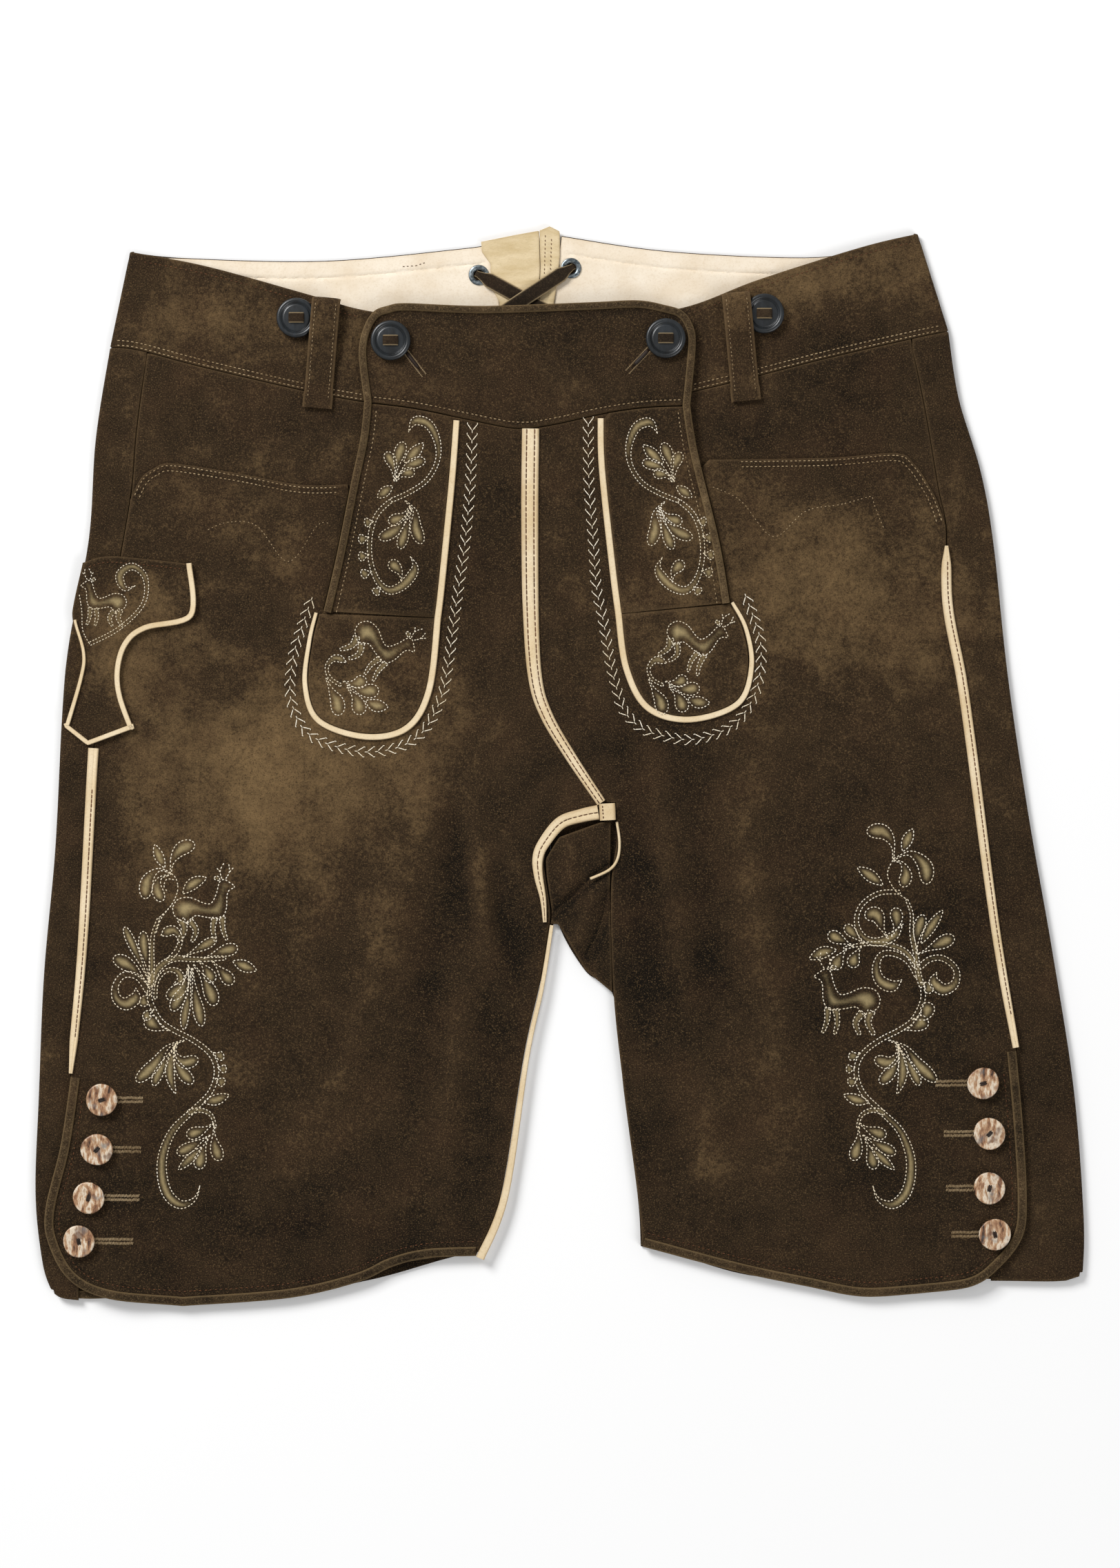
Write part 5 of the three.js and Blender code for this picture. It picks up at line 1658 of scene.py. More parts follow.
def folded(name: str, rows: Sequence[np.ndarray], side: int,
           grooves: Sequence[tuple[float, float]] = ()) -> bpy.types.Object:
    """Make a wall from rows that turn round a side fold.

    Args:
        name: The object's name.
        rows: The rows, from one end of the piece to the other.
        side: Which half, -1 or 1.
        grooves: Distances from the last row at which stitches press the hide in, and how deep.

    Returns:
        The wall.
    """
    grid = np.stack(rows)
    spot, inward = grid[..., :3], np.stack([grid[..., 3], np.zeros(grid.shape[:2]), grid[..., 4]], axis=-1)
    run = np.cumsum(np.linalg.norm(np.diff(spot, axis=0, prepend=spot[:1]), axis=-1), axis=0)
    across = np.cumsum(np.linalg.norm(np.diff(spot, axis=1, prepend=spot[:, :1]), axis=-1), axis=1)
    edge = np.minimum.reduce([across, across[:, -1:] - across, run, run[-1:] - run])
    press = rounding(edge, EDGE_RADIUS)
    for distance, depth in grooves:
        press = press + depth * bell(run[-1:] - run - distance, 1.0)
    outer = spot + inward * press[..., None]
    outer[..., 2] = np.maximum(outer[..., 2], 0.0)
    inner = spot + inward * LEATHER
    piece = grid_shell(name, outer, inner, side > 0)
    points = np.concatenate([outer.reshape(-1, 3), inner.reshape(-1, 3)])
    wear = np.concatenate([0.5 * bell(edge.ravel(), 0.9), np.zeros(edge.size)])
    paint(piece, tone=dye_and_crease_shading(points[:, 0], points[:, 1]), wear=wear, glow=np.zeros(len(points)))
    return piece


def close_shares(length: float, count: int) -> np.ndarray:
    """Share out a length evenly, with closer shares at its two ends for a rounded edge.

    Args:
        length: The length.
        count: Shares between the two ends.

    Returns:
        The shares, from 0 to 1.
    """
    ends = np.array([0.0, 0.25, 0.6, 1.2]) / length
    middle = np.linspace(ends[-1], 1 - ends[-1], count + 2)[1:-1]
    return np.concatenate([ends, middle, 1 - ends[::-1]])


@dataclass
class BackLegs:
    """The two back legs: from the side seams on top, round the side folds, to the seat seam underneath."""

    wardrobe: Wardrobe
    rows: int = 126
    trim: float = SEAM_GAP
    columns: int = 52
    fold_reach: float = 30.0
    wrap: float = 16.0

    def build(self) -> None:
        """Make and dress both."""
        for half in HALVES:
            piece = self.leg(half)
            self.wardrobe.dress(piece, "suede", f"back_{half.name}")
            cut = joined(even(half.edge, 8), even(half.back_hem, 8), even(half.back_middle, 8)[::-1],
                         even(half.back_seam, 8)[::-1])
            at_fold = np.abs(cut[:, :1] - half.edge[:, 0].mean()) < self.fold_reach
            self.wardrobe.declare(piece, cut + np.where(at_fold, half.side * self.wrap, 0.0) * [1, 0], [], 10)

    def leg(self, half: Half) -> bpy.types.Object:
        """Make one back leg.

        Args:
            half: Which half.

        Returns:
            The leg.
        """
        side = half.side
        shares = close_shares(lengths(half.edge)[-1], self.rows)
        upper_slit = half.slit[: len(half.slit) * 5 // 9 + 1]
        slit_top = half.slit[0][1]
        rows = []
        for v in shares:
            fold_x, y = along(half.edge, v)
            inner = along(half.back_middle, v)
            seam_x = crossing(half.side_seam, y) + side * SEAM_GAP / 2
            under_x = crossing(upper_slit, min(y, slit_top)) - side * UNDERLAP
            blend = float(ramp(y, slit_top - 3, slit_top - 13))
            seam_x += (under_x - seam_x) * blend
            radius = (float(under_layer(fold_x, y)) + LEATHER) / 2
            start = fold_x - side * radius
            settle = 1 - float(ramp(v, 0, 0.08))
            top_line = []
            for s in (0, 0.02, 0.05, 0.12, 0.25, 0.4, 0.55, 0.7, 0.85, 1.0):
                x = seam_x + (start - seam_x) * s
                drop = half.edge[0][1] - height_at(half.waist_seam, x) + self.trim
                fall = height_at(half.back_hem, x) - half.edge[-1][1]
                top_line.append((x, y - drop * settle + fall * float(ramp(v, 0.95, 1))))
            bottom = []
            for u in close_shares(abs(inner[0] - start), self.columns)[1:]:
                waist_bow = along(half.back_seam, u)[1] - (half.back_seam[0][1] * (1 - u) + half.back_seam[-1][1] * u)
                hem_bow = along(half.back_hem, u)[1] - (half.back_hem[0][1] * (1 - u) + half.back_hem[-1][1] * u)
                bow = (1 - v) * waist_bow + v * hem_bow
                x = start + (inner[0] - start) * u
                bottom.append((x, y + (inner[1] - y) * u + bow - self.trim * settle))
            rows.append(fold_row(side, top_line, np.array([fold_x, y - self.trim * settle]), bottom, TURNS[1:-1]))
        return folded(f"back_leg_{half.name}", rows, side)


@dataclass
class Waistband:
    """The waistband: each half runs from centre front, round the side fold, to the laced notch."""

    wardrobe: Wardrobe
    depth: float = 60.0
    front_end: float = 0.985
    top_row: float = 4.6
    seam_rows: tuple[float, float] = (1.1, 3.9)

    def build(self) -> None:
        """Make and dress both halves and sew their rows."""
        rows = Thread("waist_rows", 0.62, 11)
        faint = Thread("waist_top_rows", 0.5, 12)
        for half in HALVES:
            piece = self.band(half)
            self.wardrobe.dress(piece, "suede", f"waistband_{half.name}")
            length = lengths(half.waist_top)[-1] + lengths(half.back_top)[-1] + 10
            self.depth * MM
            for offset in self.seam_rows:
                line = half.waist_seam[4:-3] + [0, offset]
                line = line[np.abs(line[:, 0] - CENTRE_X) > (94 if half.side < 0 else 92)]
                rows.run(line, on_band, pitch=2.7, share=0.64)
            line = half.waist_top[3:-2] - [0, self.top_row]
            line = line[np.abs(line[:, 0] - CENTRE_X) > (98 if half.side < 0 else 92)]
            faint.run(line, raised(on_band, -0.2), pitch=3.0, share=0.55)
        self.wardrobe.dress(rows.build(), "tan_thread")
        self.wardrobe.dress(faint.build(), "brown_thread")

    def band(self, half: Half) -> bpy.types.Object:
        """Make one half of the band.

        Args:
            half: Which half.

        Returns:
            The band.
        """
        rows = []
        for v in close_shares(54, 22):
            front = [along(half.waist_seam, s) * (1 - v) + along(half.waist_top, s) * v
                     for s in close_shares(240, 60)[:-3] * self.front_end]
            edge = along(half.waist_seam, 1) * (1 - v) + along(half.waist_top, 1) * v
            rear = [along(half.back_seam, s) * (1 - v) + along(half.back_top, s) * v
                    for s in close_shares(230, 57)[3:]]
            rows.append(fold_row(half.side, front, edge, rear, TURNS))
        return folded(f"waist_half_{half.name}", rows, half.side, grooves=((self.top_row, 0.3),))


# ---- the inside of the waist ----
def ring_of(x: float, y: float, radius: float, count: int = 28) -> Line:
    """Draw a circle."""
    turns = np.arange(count) * 2 * math.pi / count
    return np.column_stack([x + radius * np.cos(turns), y + radius * np.sin(turns)])


def turned(name: str, profile: Sequence[tuple[float, float]], at: tuple[float, float, float],
           segments: int = 56, wobble: float = 0.0, crisp: float = 40.0) -> bpy.types.Object:
    """Turn a profile round an upright axis.

    Args:
        name: The object's name.
        profile: Radius and height of each point; closed on itself, or from axis to axis.
        at: The axis's foot.
        segments: Steps round it.
        wobble: How far from round the piece is, as a share.
        crisp: The angle past which edges stay sharp.

    Returns:
        The piece.
    """
    closed = profile[0] == profile[-1]
    ring = np.array(profile[:-1] if closed else profile[1:-1])
    turns = np.arange(segments) * 2 * math.pi / segments
    stretch = 1 + wobble * (np.sin(2 * turns + at[0]) + 0.5 * np.sin(3 * turns + at[1]))
    reach = ring[:, 0] * stretch[:, None]
    points = np.stack([at[0] + reach * np.cos(turns)[:, None], at[1] + reach * np.sin(turns)[:, None],
                       at[2] + np.broadcast_to(ring[:, 1], reach.shape)], axis=-1).reshape(-1, 3)
    size = len(ring)
    faces = []
    for i in range(segments):
        a, b = i * size, (i + 1) % segments * size
        for k in range(size if closed else size - 1):
            n = (k + 1) % size
            faces.append((a + k, b + k, b + n, a + n))
    if not closed:
        foot, top = len(points), len(points) + 1
        points = np.vstack([points, (at[0], at[1], at[2] + profile[0][1]), (at[0], at[1], at[2] + profile[-1][1])])
        for i in range(segments):
            a, b = i * size, (i + 1) % segments * size
            faces += [(foot, b, a), (top, a + size - 1, b + size - 1)]
    return mesh_object(name, points, faces, crisp)


def strap(name: str, path: np.ndarray, widths: np.ndarray, thickness: float,
          crown: float = 0.0) -> bpy.types.Object:
    """Make a strap whose middle follows a path in space.

    Args:
        name: The object's name.
        path: Its points.
        widths: Its width at each point.
        thickness: Its thickness.
        crown: How much its middle is fuller than its edges.

    Returns:
        The strap.
    """
    across = path[-1] - path[0]
    across = np.array([-across[1], across[0], 0.0]) / math.hypot(across[0], across[1])
    run = np.gradient(path, axis=0)
    up = np.cross(run, across)
    up /= np.linalg.norm(up, axis=1)[:, None]
    up *= np.where(up[:, 2:] < 0, -1.0, 1.0)
    turns = np.linspace(0, 2 * math.pi, 25)[:-1]
    u = np.sign(np.cos(turns)) * np.abs(np.cos(turns)) ** 0.35 * 0.5
    w = np.sign(np.sin(turns)) * np.abs(np.sin(turns)) ** 0.55 * 0.5
    rings = []
    for ui, wi in zip(u, w):
        rise = thickness * wi + crown * (1 - (2 * ui) ** 2) * (wi > 0)
        rings.append(path + across * (ui * widths)[:, None] + up * rise)
    grid = np.stack(rings, axis=1)
    count, size = grid.shape[:2]
    faces = [(j * size + i, j * size + (i + 1) % size, (j + 1) * size + (i + 1) % size, (j + 1) * size + i)
             for j in range(count - 1) for i in range(size)]
    faces.append(tuple(reversed(range(size))))
    faces.append(tuple((count - 1) * size + i for i in range(size)))
    points = grid.reshape(-1, 3)
    piece = mesh_object(name, points, faces, 60)
    wear = np.tile(ramp(np.abs(u), 0.38, 0.5), count)
    paint(piece, tone=dye_and_crease_shading(points[:, 0], points[:, 1]), wear=wear, glow=np.zeros(len(points)))
    return piece


def smooth_path(points: Sequence[Sequence[float]], steps: int = 6) -> np.ndarray:
    """Draw a smooth path in space through points.

    Args:
        points: The points.
        steps: Straight pieces between two points.

    Returns:
        The path.
    """
    spots = np.array(points, dtype=float)
    flat = spline(*map(tuple, spots[:, :2]), steps=steps)
    tall = spline(*[(float(i), z) for i, z in enumerate(spots[:, 2])], steps=steps)
    return np.column_stack([flat, tall[:, 1]])


@dataclass
class LacedNotch:
    """The pale lining inside the back of the waist, with its insert, four eyelets and crossed lace."""

    wardrobe: Wardrobe
    bore: float = 3.2
    rim: float = 6.0
    lace_width: float = 8.8
    lace_thickness: float = 1.0
    crossing: float = 0.56
    facing_strip: float = 10.0

    def build(self) -> None:
        """Make and dress every piece of the notch."""
        sewing = Thread("lining_rows", 0.4, 5)
        for half in HALVES:
            self.lining(half, sewing)
        self.insert(sewing)
        self.wardrobe.dress(sewing.build(), "brown_thread")
        for name, (x, y) in EYELETS.items():
            self.eyelet(name, x, y)
        self.laces()

    def lining(self, half: Half, sewing: Thread) -> None:
        """Make one half of the lining, with the seam of its facing strip along the top.

        Args:
            half: Which half.
            sewing: The thread that marks it.
        """
        side = half.side
        top, foot = half.back_top[8:] - [0, 0.4], half.back_seam[8:] + [0, 3]
        outer = half.back_top[0] - [side * 6, 3]
        outer_foot = half.back_seam[0] - [side * 6, -4]
        outline = outline_of(np.array([outer_foot, outer]), np.vstack([outer, top]),
                             np.array([top[-1], foot[-1]]), np.vstack([foot[::-1], outer_foot]))
        holes = tuple(ring_of(x, y, self.bore + 0.9) for x, y in EYELETS.values() if (x > CENTRE_X) == (side > 0))
        seam = Groove(even(half.back_top - [0, self.facing_strip], 4)[2:-1], 0.55, 0.7, 0.1)
        panel = Panel(f"pale_waist_lining_{half.name}", outline, level(LINING_UNDER), LINING, (seam,), holes=holes,
                      round_over=0.4)
        self.wardrobe.cut(panel, "lining", f"waist_lining_{half.name}", [f"waistband_{half.name}"])
        marks = np.array([(-92.0, 290.5), (-84, 291), (-78, 293)]) if side < 0 else np.array([(-6.0, 296), (-6, 302)])
        sewing.run(marks, raised(level(LINING_UNDER), LINING), pitch=2.6, share=0.5)

    def insert(self, sewing: Thread) -> None:
        """Make the insert behind the lace and the narrow strip sewn to its edge.

        Args:
            sewing: The thread of its rows.
        """
        rise = LINING + SEAM_GAP

        def under(_: np.ndarray, y: np.ndarray) -> np.ndarray:
            """Rise from the lining's own level to its top."""
            return LINING_UNDER + rise * np.clip((np.asarray(y, dtype=float) - 220) / 20, 0, 1)

        broad = np.array([(-46, 305), (-26, 309), (-12, 311.5), (-11.5, 290), (-13, 240), NOTCH_FOOT, (-30, 240),
                          (-34, 255), (-35.5, 270), (-40.2, 279), (-40.6, 292), (-45.6, 299)], dtype=float)
        strip = np.array([(-12, 311.5), (-6, 314), (0, 311), (0.1, 297), (-1, 284), (-4.5, 262), (-9, 240), (-13, 240),
                          (-11.5, 290)], dtype=float)
        for name, shape in (("lace_insert", broad), ("lace_insert_edge", strip)):
            outline = outline_of(looped(shape), pitch=1.6)
            groove = Groove(np.array([(-5.5, 308.0), (-5.5, 290), (-8, 262), (-11, 244)]), 0.3, 0.8)
            grooves = (groove,) if "edge" in name else ()
            panel = Panel(f"{name}_hide", outline, under, LINING, grooves, pitch=2.4, round_over=0.4)
            self.wardrobe.cut(panel, "insert", name, ["waist_lining_left", "waist_lining_right"], 1.5)
        sewing.run(np.array([(-5.0, 307.0), (-5.5, 290), (-6.5, 276)]), raised(under, LINING), pitch=2.4, share=0.55)
        sewing.run(np.array([(-8.5, 309.0), (-9, 290), (-9.6, 276)]), raised(under, LINING), pitch=2.4, share=0.55)

    def eyelet(self, name: str, x: float, y: float) -> None:
        """Make one eyelet: a rolled rim round a short tube.

        Args:
            name: The node that it stands for.
            x: Its middle's x.
            y: Its middle's y.
        """
        arc = [(4.7 + 1.25 * math.cos(t), 3.1 + 0.6 * math.sin(t)) for t in np.linspace(-0.4, math.pi + 0.2, 12)]
        profile = [(self.bore, 0.3), (self.bore + 0.6, 0.3), (self.bore + 0.6, 2.9), *arc, (self.bore, 2.9),
                   (self.bore, 0.3)]
        self.wardrobe.dress(turned(f"{name}_ring", profile, (x, y, 0), 40, crisp=60), "nickel", name)

    def laces(self) -> None:
        """Make the two crossed strands."""
        strands = (("lace_under", "eyelet_upper_left", "eyelet_lower_right", 0.0),
                   ("lace_over", "eyelet_upper_right", "eyelet_lower_left", self.lace_thickness + LAY_GAP))
        over_rim = 3.7 + SEAM_GAP + self.lace_thickness / 2
        ends = [(-1.6, 1.0), (-1.6, 3.4), (-0.4, over_rim - 0.1), (3.0, over_rim + 0.35), (7.0, over_rim + 0.3)]
        for name, start, end, hump in strands:
            a, b = np.array(EYELETS[start]), np.array(EYELETS[end])
            span = math.hypot(*(b - a))
            middle = [(s * span, over_rim + 0.15 + hump * (1 - float(ramp(abs(s - self.crossing), 0.14, 0.28))))
                      for s in (0.26, 0.34, 0.48, self.crossing, 0.66, 0.78)]
            stops = [*ends, *middle, *((span - d, z) for d, z in reversed(ends))]
            path = smooth_path([(*(a + (b - a) * d / span), z) for d, z in stops], 4)
            share = np.minimum(np.arange(len(path)), np.arange(len(path))[::-1]) / 4
            widths = np.interp(share, [0, 2, 3, 4], [3.6, 3.6, 5.5, self.lace_width])
            self.wardrobe.dress(strap(f"{name}_strand", path, widths, self.lace_thickness, 0.1), "lace", name)


@dataclass
class FrontLegs:
    """The front: the pocket facings, the two front legs, and their embroidery and rows."""

    wardrobe: Wardrobe
    slit_width: float = 0.6
    mouth_rows: tuple[float, float] = (1.6, 4.6)

    def build(self) -> None:
        """Make and dress the facings and legs."""
        tan = Thread("front_rows", 0.62, 21)
        brown = Thread("hem_rows", 0.55, 22)
        for half in HALVES:
            self.facing(half)
            self.leg(half, tan, brown)
        self.wardrobe.dress(tan.build(), "tan_thread")
        self.wardrobe.dress(brown.build(), "brown_thread")

    def facing(self, half: Half) -> None:
        """Make one pocket facing, from the side seam to under the flap.

        Args:
            half: Which half.
        """
        side = half.side
        x = side * half.waist_seam[:, 0]
        top = half.waist_seam[(x - side * half.facing_foot[0][0] > 4) & (x - side * half.side_seam[0][0] < -0.4)]
        outer = half.side_seam[half.side_seam[:, 1] > half.mouth[0][1] - 2]
        foot = half.mouth[4:-4] + [-side * 2, -14]
        outline = outline_of(outer, foot, half.facing_foot, top - [0, 0.2], gap=0.15)
        panel = Panel(f"facing_of_pocket_{half.name}", outline, under_layer, tone=-0.04)
        self.wardrobe.cut(panel, "suede", f"pocket_facing_{half.name}", [f"back_leg_{half.name}"])

    def outline(self, half: Half) -> Line:
        """Draw a front leg, with the slit that runs on down the flap's edge.

        Args:
            half: Which half.

        Returns:
            The outline.
        """
        slit_y, mouth_y = half.slit[0][1], half.mouth[0][1]
        seam = half.side_seam[(half.side_seam[:, 1] < mouth_y) & (half.side_seam[:, 1] > slit_y)]
        low = half.flap_edge[half.flap_edge[:, 1] < half.mouth[-1][1]]
        high = half.flap_edge[half.flap_edge[:, 1] > half.mouth[-1][1] + 0.5]
        gap = half.side * self.slit_width / 2
        down, up = parallel(low, gap), parallel(low, -gap)[::-1]
        return outline_of(CENTRE_FRONT, half.crotch[::-1], half.inseam[::-1], half.hem[::-1], half.slit[::-1],
                          seam[::-1], half.mouth[:-1], down, up, high[::-1], half.band_seam)

    def leg(self, half: Half, tan: Thread, brown: Thread) -> None:
        """Make one front leg and sew it.

        Args:
            half: Which half.
            tan: The thread of the pocket mouth.
            brown: The thread of the hem.
        """
        outline = self.outline(half)
        work = Embroidery(LEG_MOTIFS[half.name])
        side = half.side
        mouth_rows = [parallel(half.mouth, side * offset)[2:-3] for offset in self.mouth_rows]
        hem = joined(half.slit, half.hem)
        hem_row = parallel(hem, side * -8.5)
        grooves = [Groove(line, 0.3, 0.9, 0.06) for line in mouth_rows]
        grooves.append(Groove(hem_row, 0.22, 1.2, 0.05))
        panel = Panel(f"front_leg_{half.name}", outline, front_layer, LEATHER, tuple(grooves), work, bulge=0.15)
        below = [f"back_leg_{half.name}", f"pocket_facing_{half.name}"]
        self.wardrobe.cut(panel, "suede", f"front_{half.name}", below, 12)
        stitches = Thread(f"leg_embroidery_{half.name}", 0.62, 31 + side)
        stitches.trace(work, panel.top, 2.15, 0.68)
        self.wardrobe.dress(stitches.build(), "cream_thread")
        plain = raised(front_layer, LEATHER)
        for line in mouth_rows:
            tan.run(line, plain, pitch=2.6, share=0.6, lift=0.02)
        brown.run(hem_row[3:], plain, pitch=3.0, share=0.55, lift=0.02)
        self.pocket_mark(half, tan, plain)
        self.feathers(half, plain)

    def pocket_mark(self, half: Half, tan: Thread, face: Surface) -> None:
        """Sew the faint figure that decorates the thigh pocket.

        Args:
            half: Which half.
            tan: The thread.
            face: What it is sewn on.
        """
        if half.side < 0:
            lines = [spline((-205, 137), (-193, 141.6), (-176, 139.6), (-157.8, 118.8), (-141, 139.6), (-134, 141))]
        else:
            lines = [spline((88, 162.4), (105, 154), (123.7, 133.3), (142.4, 148), (163, 152), (181, 157)),
                     spline((181, 157), (183, 150), (188, 138))]
        for line in lines:
            tan.run(line, face, pitch=2.4, share=0.5, lift=-0.12)

    def feathers(self, half: Half, face: Surface) -> None:
        """Sew the feather stitch round the flap's tab.

        Args:
            half: Which half.
            face: What it is sewn on.
        """
        line = {
            -1: spline((-50.8, 196), (-52, 164.4), (-54.8, 132.4), (-57.6, 112.4), (-61.6, 84.4), (-64.8, 60.4),
                       (-68.8, 40.4), (-78.8, 21.2), (-92.8, 11.6), (-112.8, 8.4), (-132.8, 12.4), (-146.8, 19.6),
                       (-153.6, 30.4), (-156.8, 44.4), (-154.8, 64.4), (-148.8, 84.4), (-144.8, 95.6)),
            1: spline((16.4, 199.6), (16.8, 164.4), (19.2, 132.4), (21.2, 104.4), (25.2, 84.4), (29.2, 60.4),
                      (33.2, 44.4), (37.2, 32.4), (47.2, 22.4), (59.2, 18), (75.2, 15.6), (91.2, 19.2),
                      (103.2, 26.4), (112.4, 40.4), (116.4, 56.4), (116.4, 72.4), (113.2, 84.4), (108.4, 97.6)),
        }[half.side]
        thread = Thread(f"feather_stitch_{half.name}", 0.5, 41 + half.side)
        feather(thread, line, face)
        self.wardrobe.dress(thread.build(), "cream_thread")


@dataclass
class Flap:
    """The drop front: its band, the strip and tab down each edge, their piping and the rolled binding."""

    wardrobe: Wardrobe
    binding_width: float = 4.4

    def build(self) -> None:
        """Make and dress the flap."""
        tan = Thread("flap_rows", 0.6, 51)
        self.band(tan)
        for half in HALVES:
            self.strip(half, tan)
        self.binding()
        self.wardrobe.dress(tan.build(), "tan_thread")

    def band(self, tan: Thread) -> None:
        """Make the turned double band across the top.

        Args:
            tan: The thread of its rows.
        """
        outline = outline_of(np.vstack([LEFT.band_seam, RIGHT.band_seam[::-1][1:]]), RIGHT.flap_corner[::-1],
                             FLAP_TOP[::-1], LEFT.flap_corner)
        seam = joined(LEFT.band_seam, RIGHT.band_seam[::-1]) + [0, 3.4]
        rim = joined(LEFT.flap_corner[::-1], FLAP_TOP, RIGHT.flap_corner)
        grooves = (Groove(seam[2:-2], 0.45, 1.0, 0.08), Groove(parallel(rim, -6.6)[3:-3], 0.55, 1.2, 0.12))
        holes = [np.array(half.flap_hole) for half in HALVES]
        panel = Panel("flap_top_band", outline, front_layer, BAND, grooves, round_over=1.3)
        below = ["front_leg_left", "front_leg_right", "waistband_left"]
        self.wardrobe.cut(panel, "suede", "flap_band", below, 20, "folded")
        face = raised(front_layer, BAND)
        tan.run(seam[2:-2], face, pitch=2.7, share=0.62, lift=-0.08)
        for half, hole in zip(HALVES, holes):
            self.buttonhole(half, hole, face)

    def buttonhole(self, half: Half, hole: Line, face: Surface) -> None:
        """Sew a bound buttonhole that slants away from its button, with a dark strand as the painted shadow of its
        slit.

        Args:
            half: Which half.
            hole: The line of the slit.
            face: What it is sewn on.
        """
        thread = Thread(f"flap_buttonhole_{half.name}", 0.42, 61 + half.side)
        middle = even(hole, 0.75)
        across = normals(middle)
        for offset in (-1.35, 1.35):
            thread.stroke(middle + across * (offset - 0.5), middle + across * (offset + 0.5), face, 0.15)
        self.wardrobe.dress(thread.build(), "tan_thread")
        # painted shadow: a wide dark strand laid along the slit stands in for its shaded opening
        slit = Thread(f"flap_buttonhole_slit_{half.name}", 2.4, 63 + half.side)
        slit.stroke(hole[0], hole[0] + (hole[1] - hole[0]) * 0.8, face, 0.05)
        self.wardrobe.dress(slit.build(), "dark_thread")

    def strip(self, half: Half, tan: Thread) -> None:
        """Make one edge's strip and tab, and the piping that runs round them.

        Args:
            half: Which half.
            tan: The thread of its rows.
        """
        side = half.side
        to_piping = side * PIPING_WIDTH / 2
        head = half.band_seam[side * (half.band_seam[:, 0] - half.piping_run[0][0]) > 2.5] - [0, SEAM_GAP]
        outline = outline_of(head, parallel(half.piping_run, to_piping), half.flap_edge[::-1])
        rows = (parallel(half.flap_edge, side * -7.2)[2:], head[1:-1] - [0, 3.0])
        work = Embroidery(STRIP_MOTIFS[half.name], 0.7)
        grooves = tuple(Groove(row, 0.2, 0.8, 0.04) for row in rows)
        panel = Panel(f"flap_side_strip_{half.name}", outline, on_front, OVERLAY, grooves, work, pitch=2.8,
                      round_over=0.6)
        self.wardrobe.cut(panel, "suede", f"flap_strip_{half.name}", [f"front_leg_{half.name}"])
        tan.run(rows[0], raised(on_front, OVERLAY), pitch=2.6, share=0.5, lift=-0.06)
        self.sew(f"strip_embroidery_{half.name}", work, panel.top)
        outline = outline_of(parallel(half.piping_loop, to_piping))
        work = Embroidery(TAB_MOTIFS[half.name], 0.8)
        panel = Panel(f"flap_tab_{half.name}", outline, on_front, OVERLAY, (), work, pitch=2.8, round_over=0.6)
        self.wardrobe.cut(panel, "suede", f"tab_{half.name}", [f"front_leg_{half.name}"])
        self.sew(f"tab_embroidery_{half.name}", work, panel.top)
        line = joined(half.piping_run, half.piping_loop)
        widths = np.array([3.9, 4.2, 4.2, 4.0, 3.6, 2.2])
        piece = sweep(f"flap_piping_{half.name}", line, widths * 0.92, on_front, flat_profile(PIPING))
        self.wardrobe.dress(piece, "cream", f"u_piping_{half.name}")

    def sew(self, name: str, work: Embroidery, face: Surface) -> None:
        """Sew the outlines of an embroidery.

        Args:
            name: The stitches' name.
            work: The embroidery.
            face: What it is sewn on.
        """
        stitches = Thread(name, 0.56, 71)
        stitches.trace(work, face, 2.0, 0.66)
        self.wardrobe.dress(stitches.build(), "cream_thread")

    def binding(self) -> None:
        """Make the rolled edge up the left side, over the top and down the right side."""
        rim = joined(LEFT.flap_edge[::-1], LEFT.flap_corner[::-1], FLAP_TOP, RIGHT.flap_corner, RIGHT.flap_edge)
        middle = parallel(rim, -self.binding_width / 2 + 0.2)

        def lift(x: np.ndarray, y: np.ndarray) -> np.ndarray:
            """Rise from the strips to the thicker band."""
            return on_strip(x, y) + (BAND - OVERLAY - LEATHER - 1.4 * LAY_GAP) * ramp(y, 205, 222) - 0.1

        piece = sweep("flap_rolled_edge", middle, self.binding_width, lift, rolled_profile(1.35))
        self.wardrobe.dress(piece, "edge", "flap_binding")


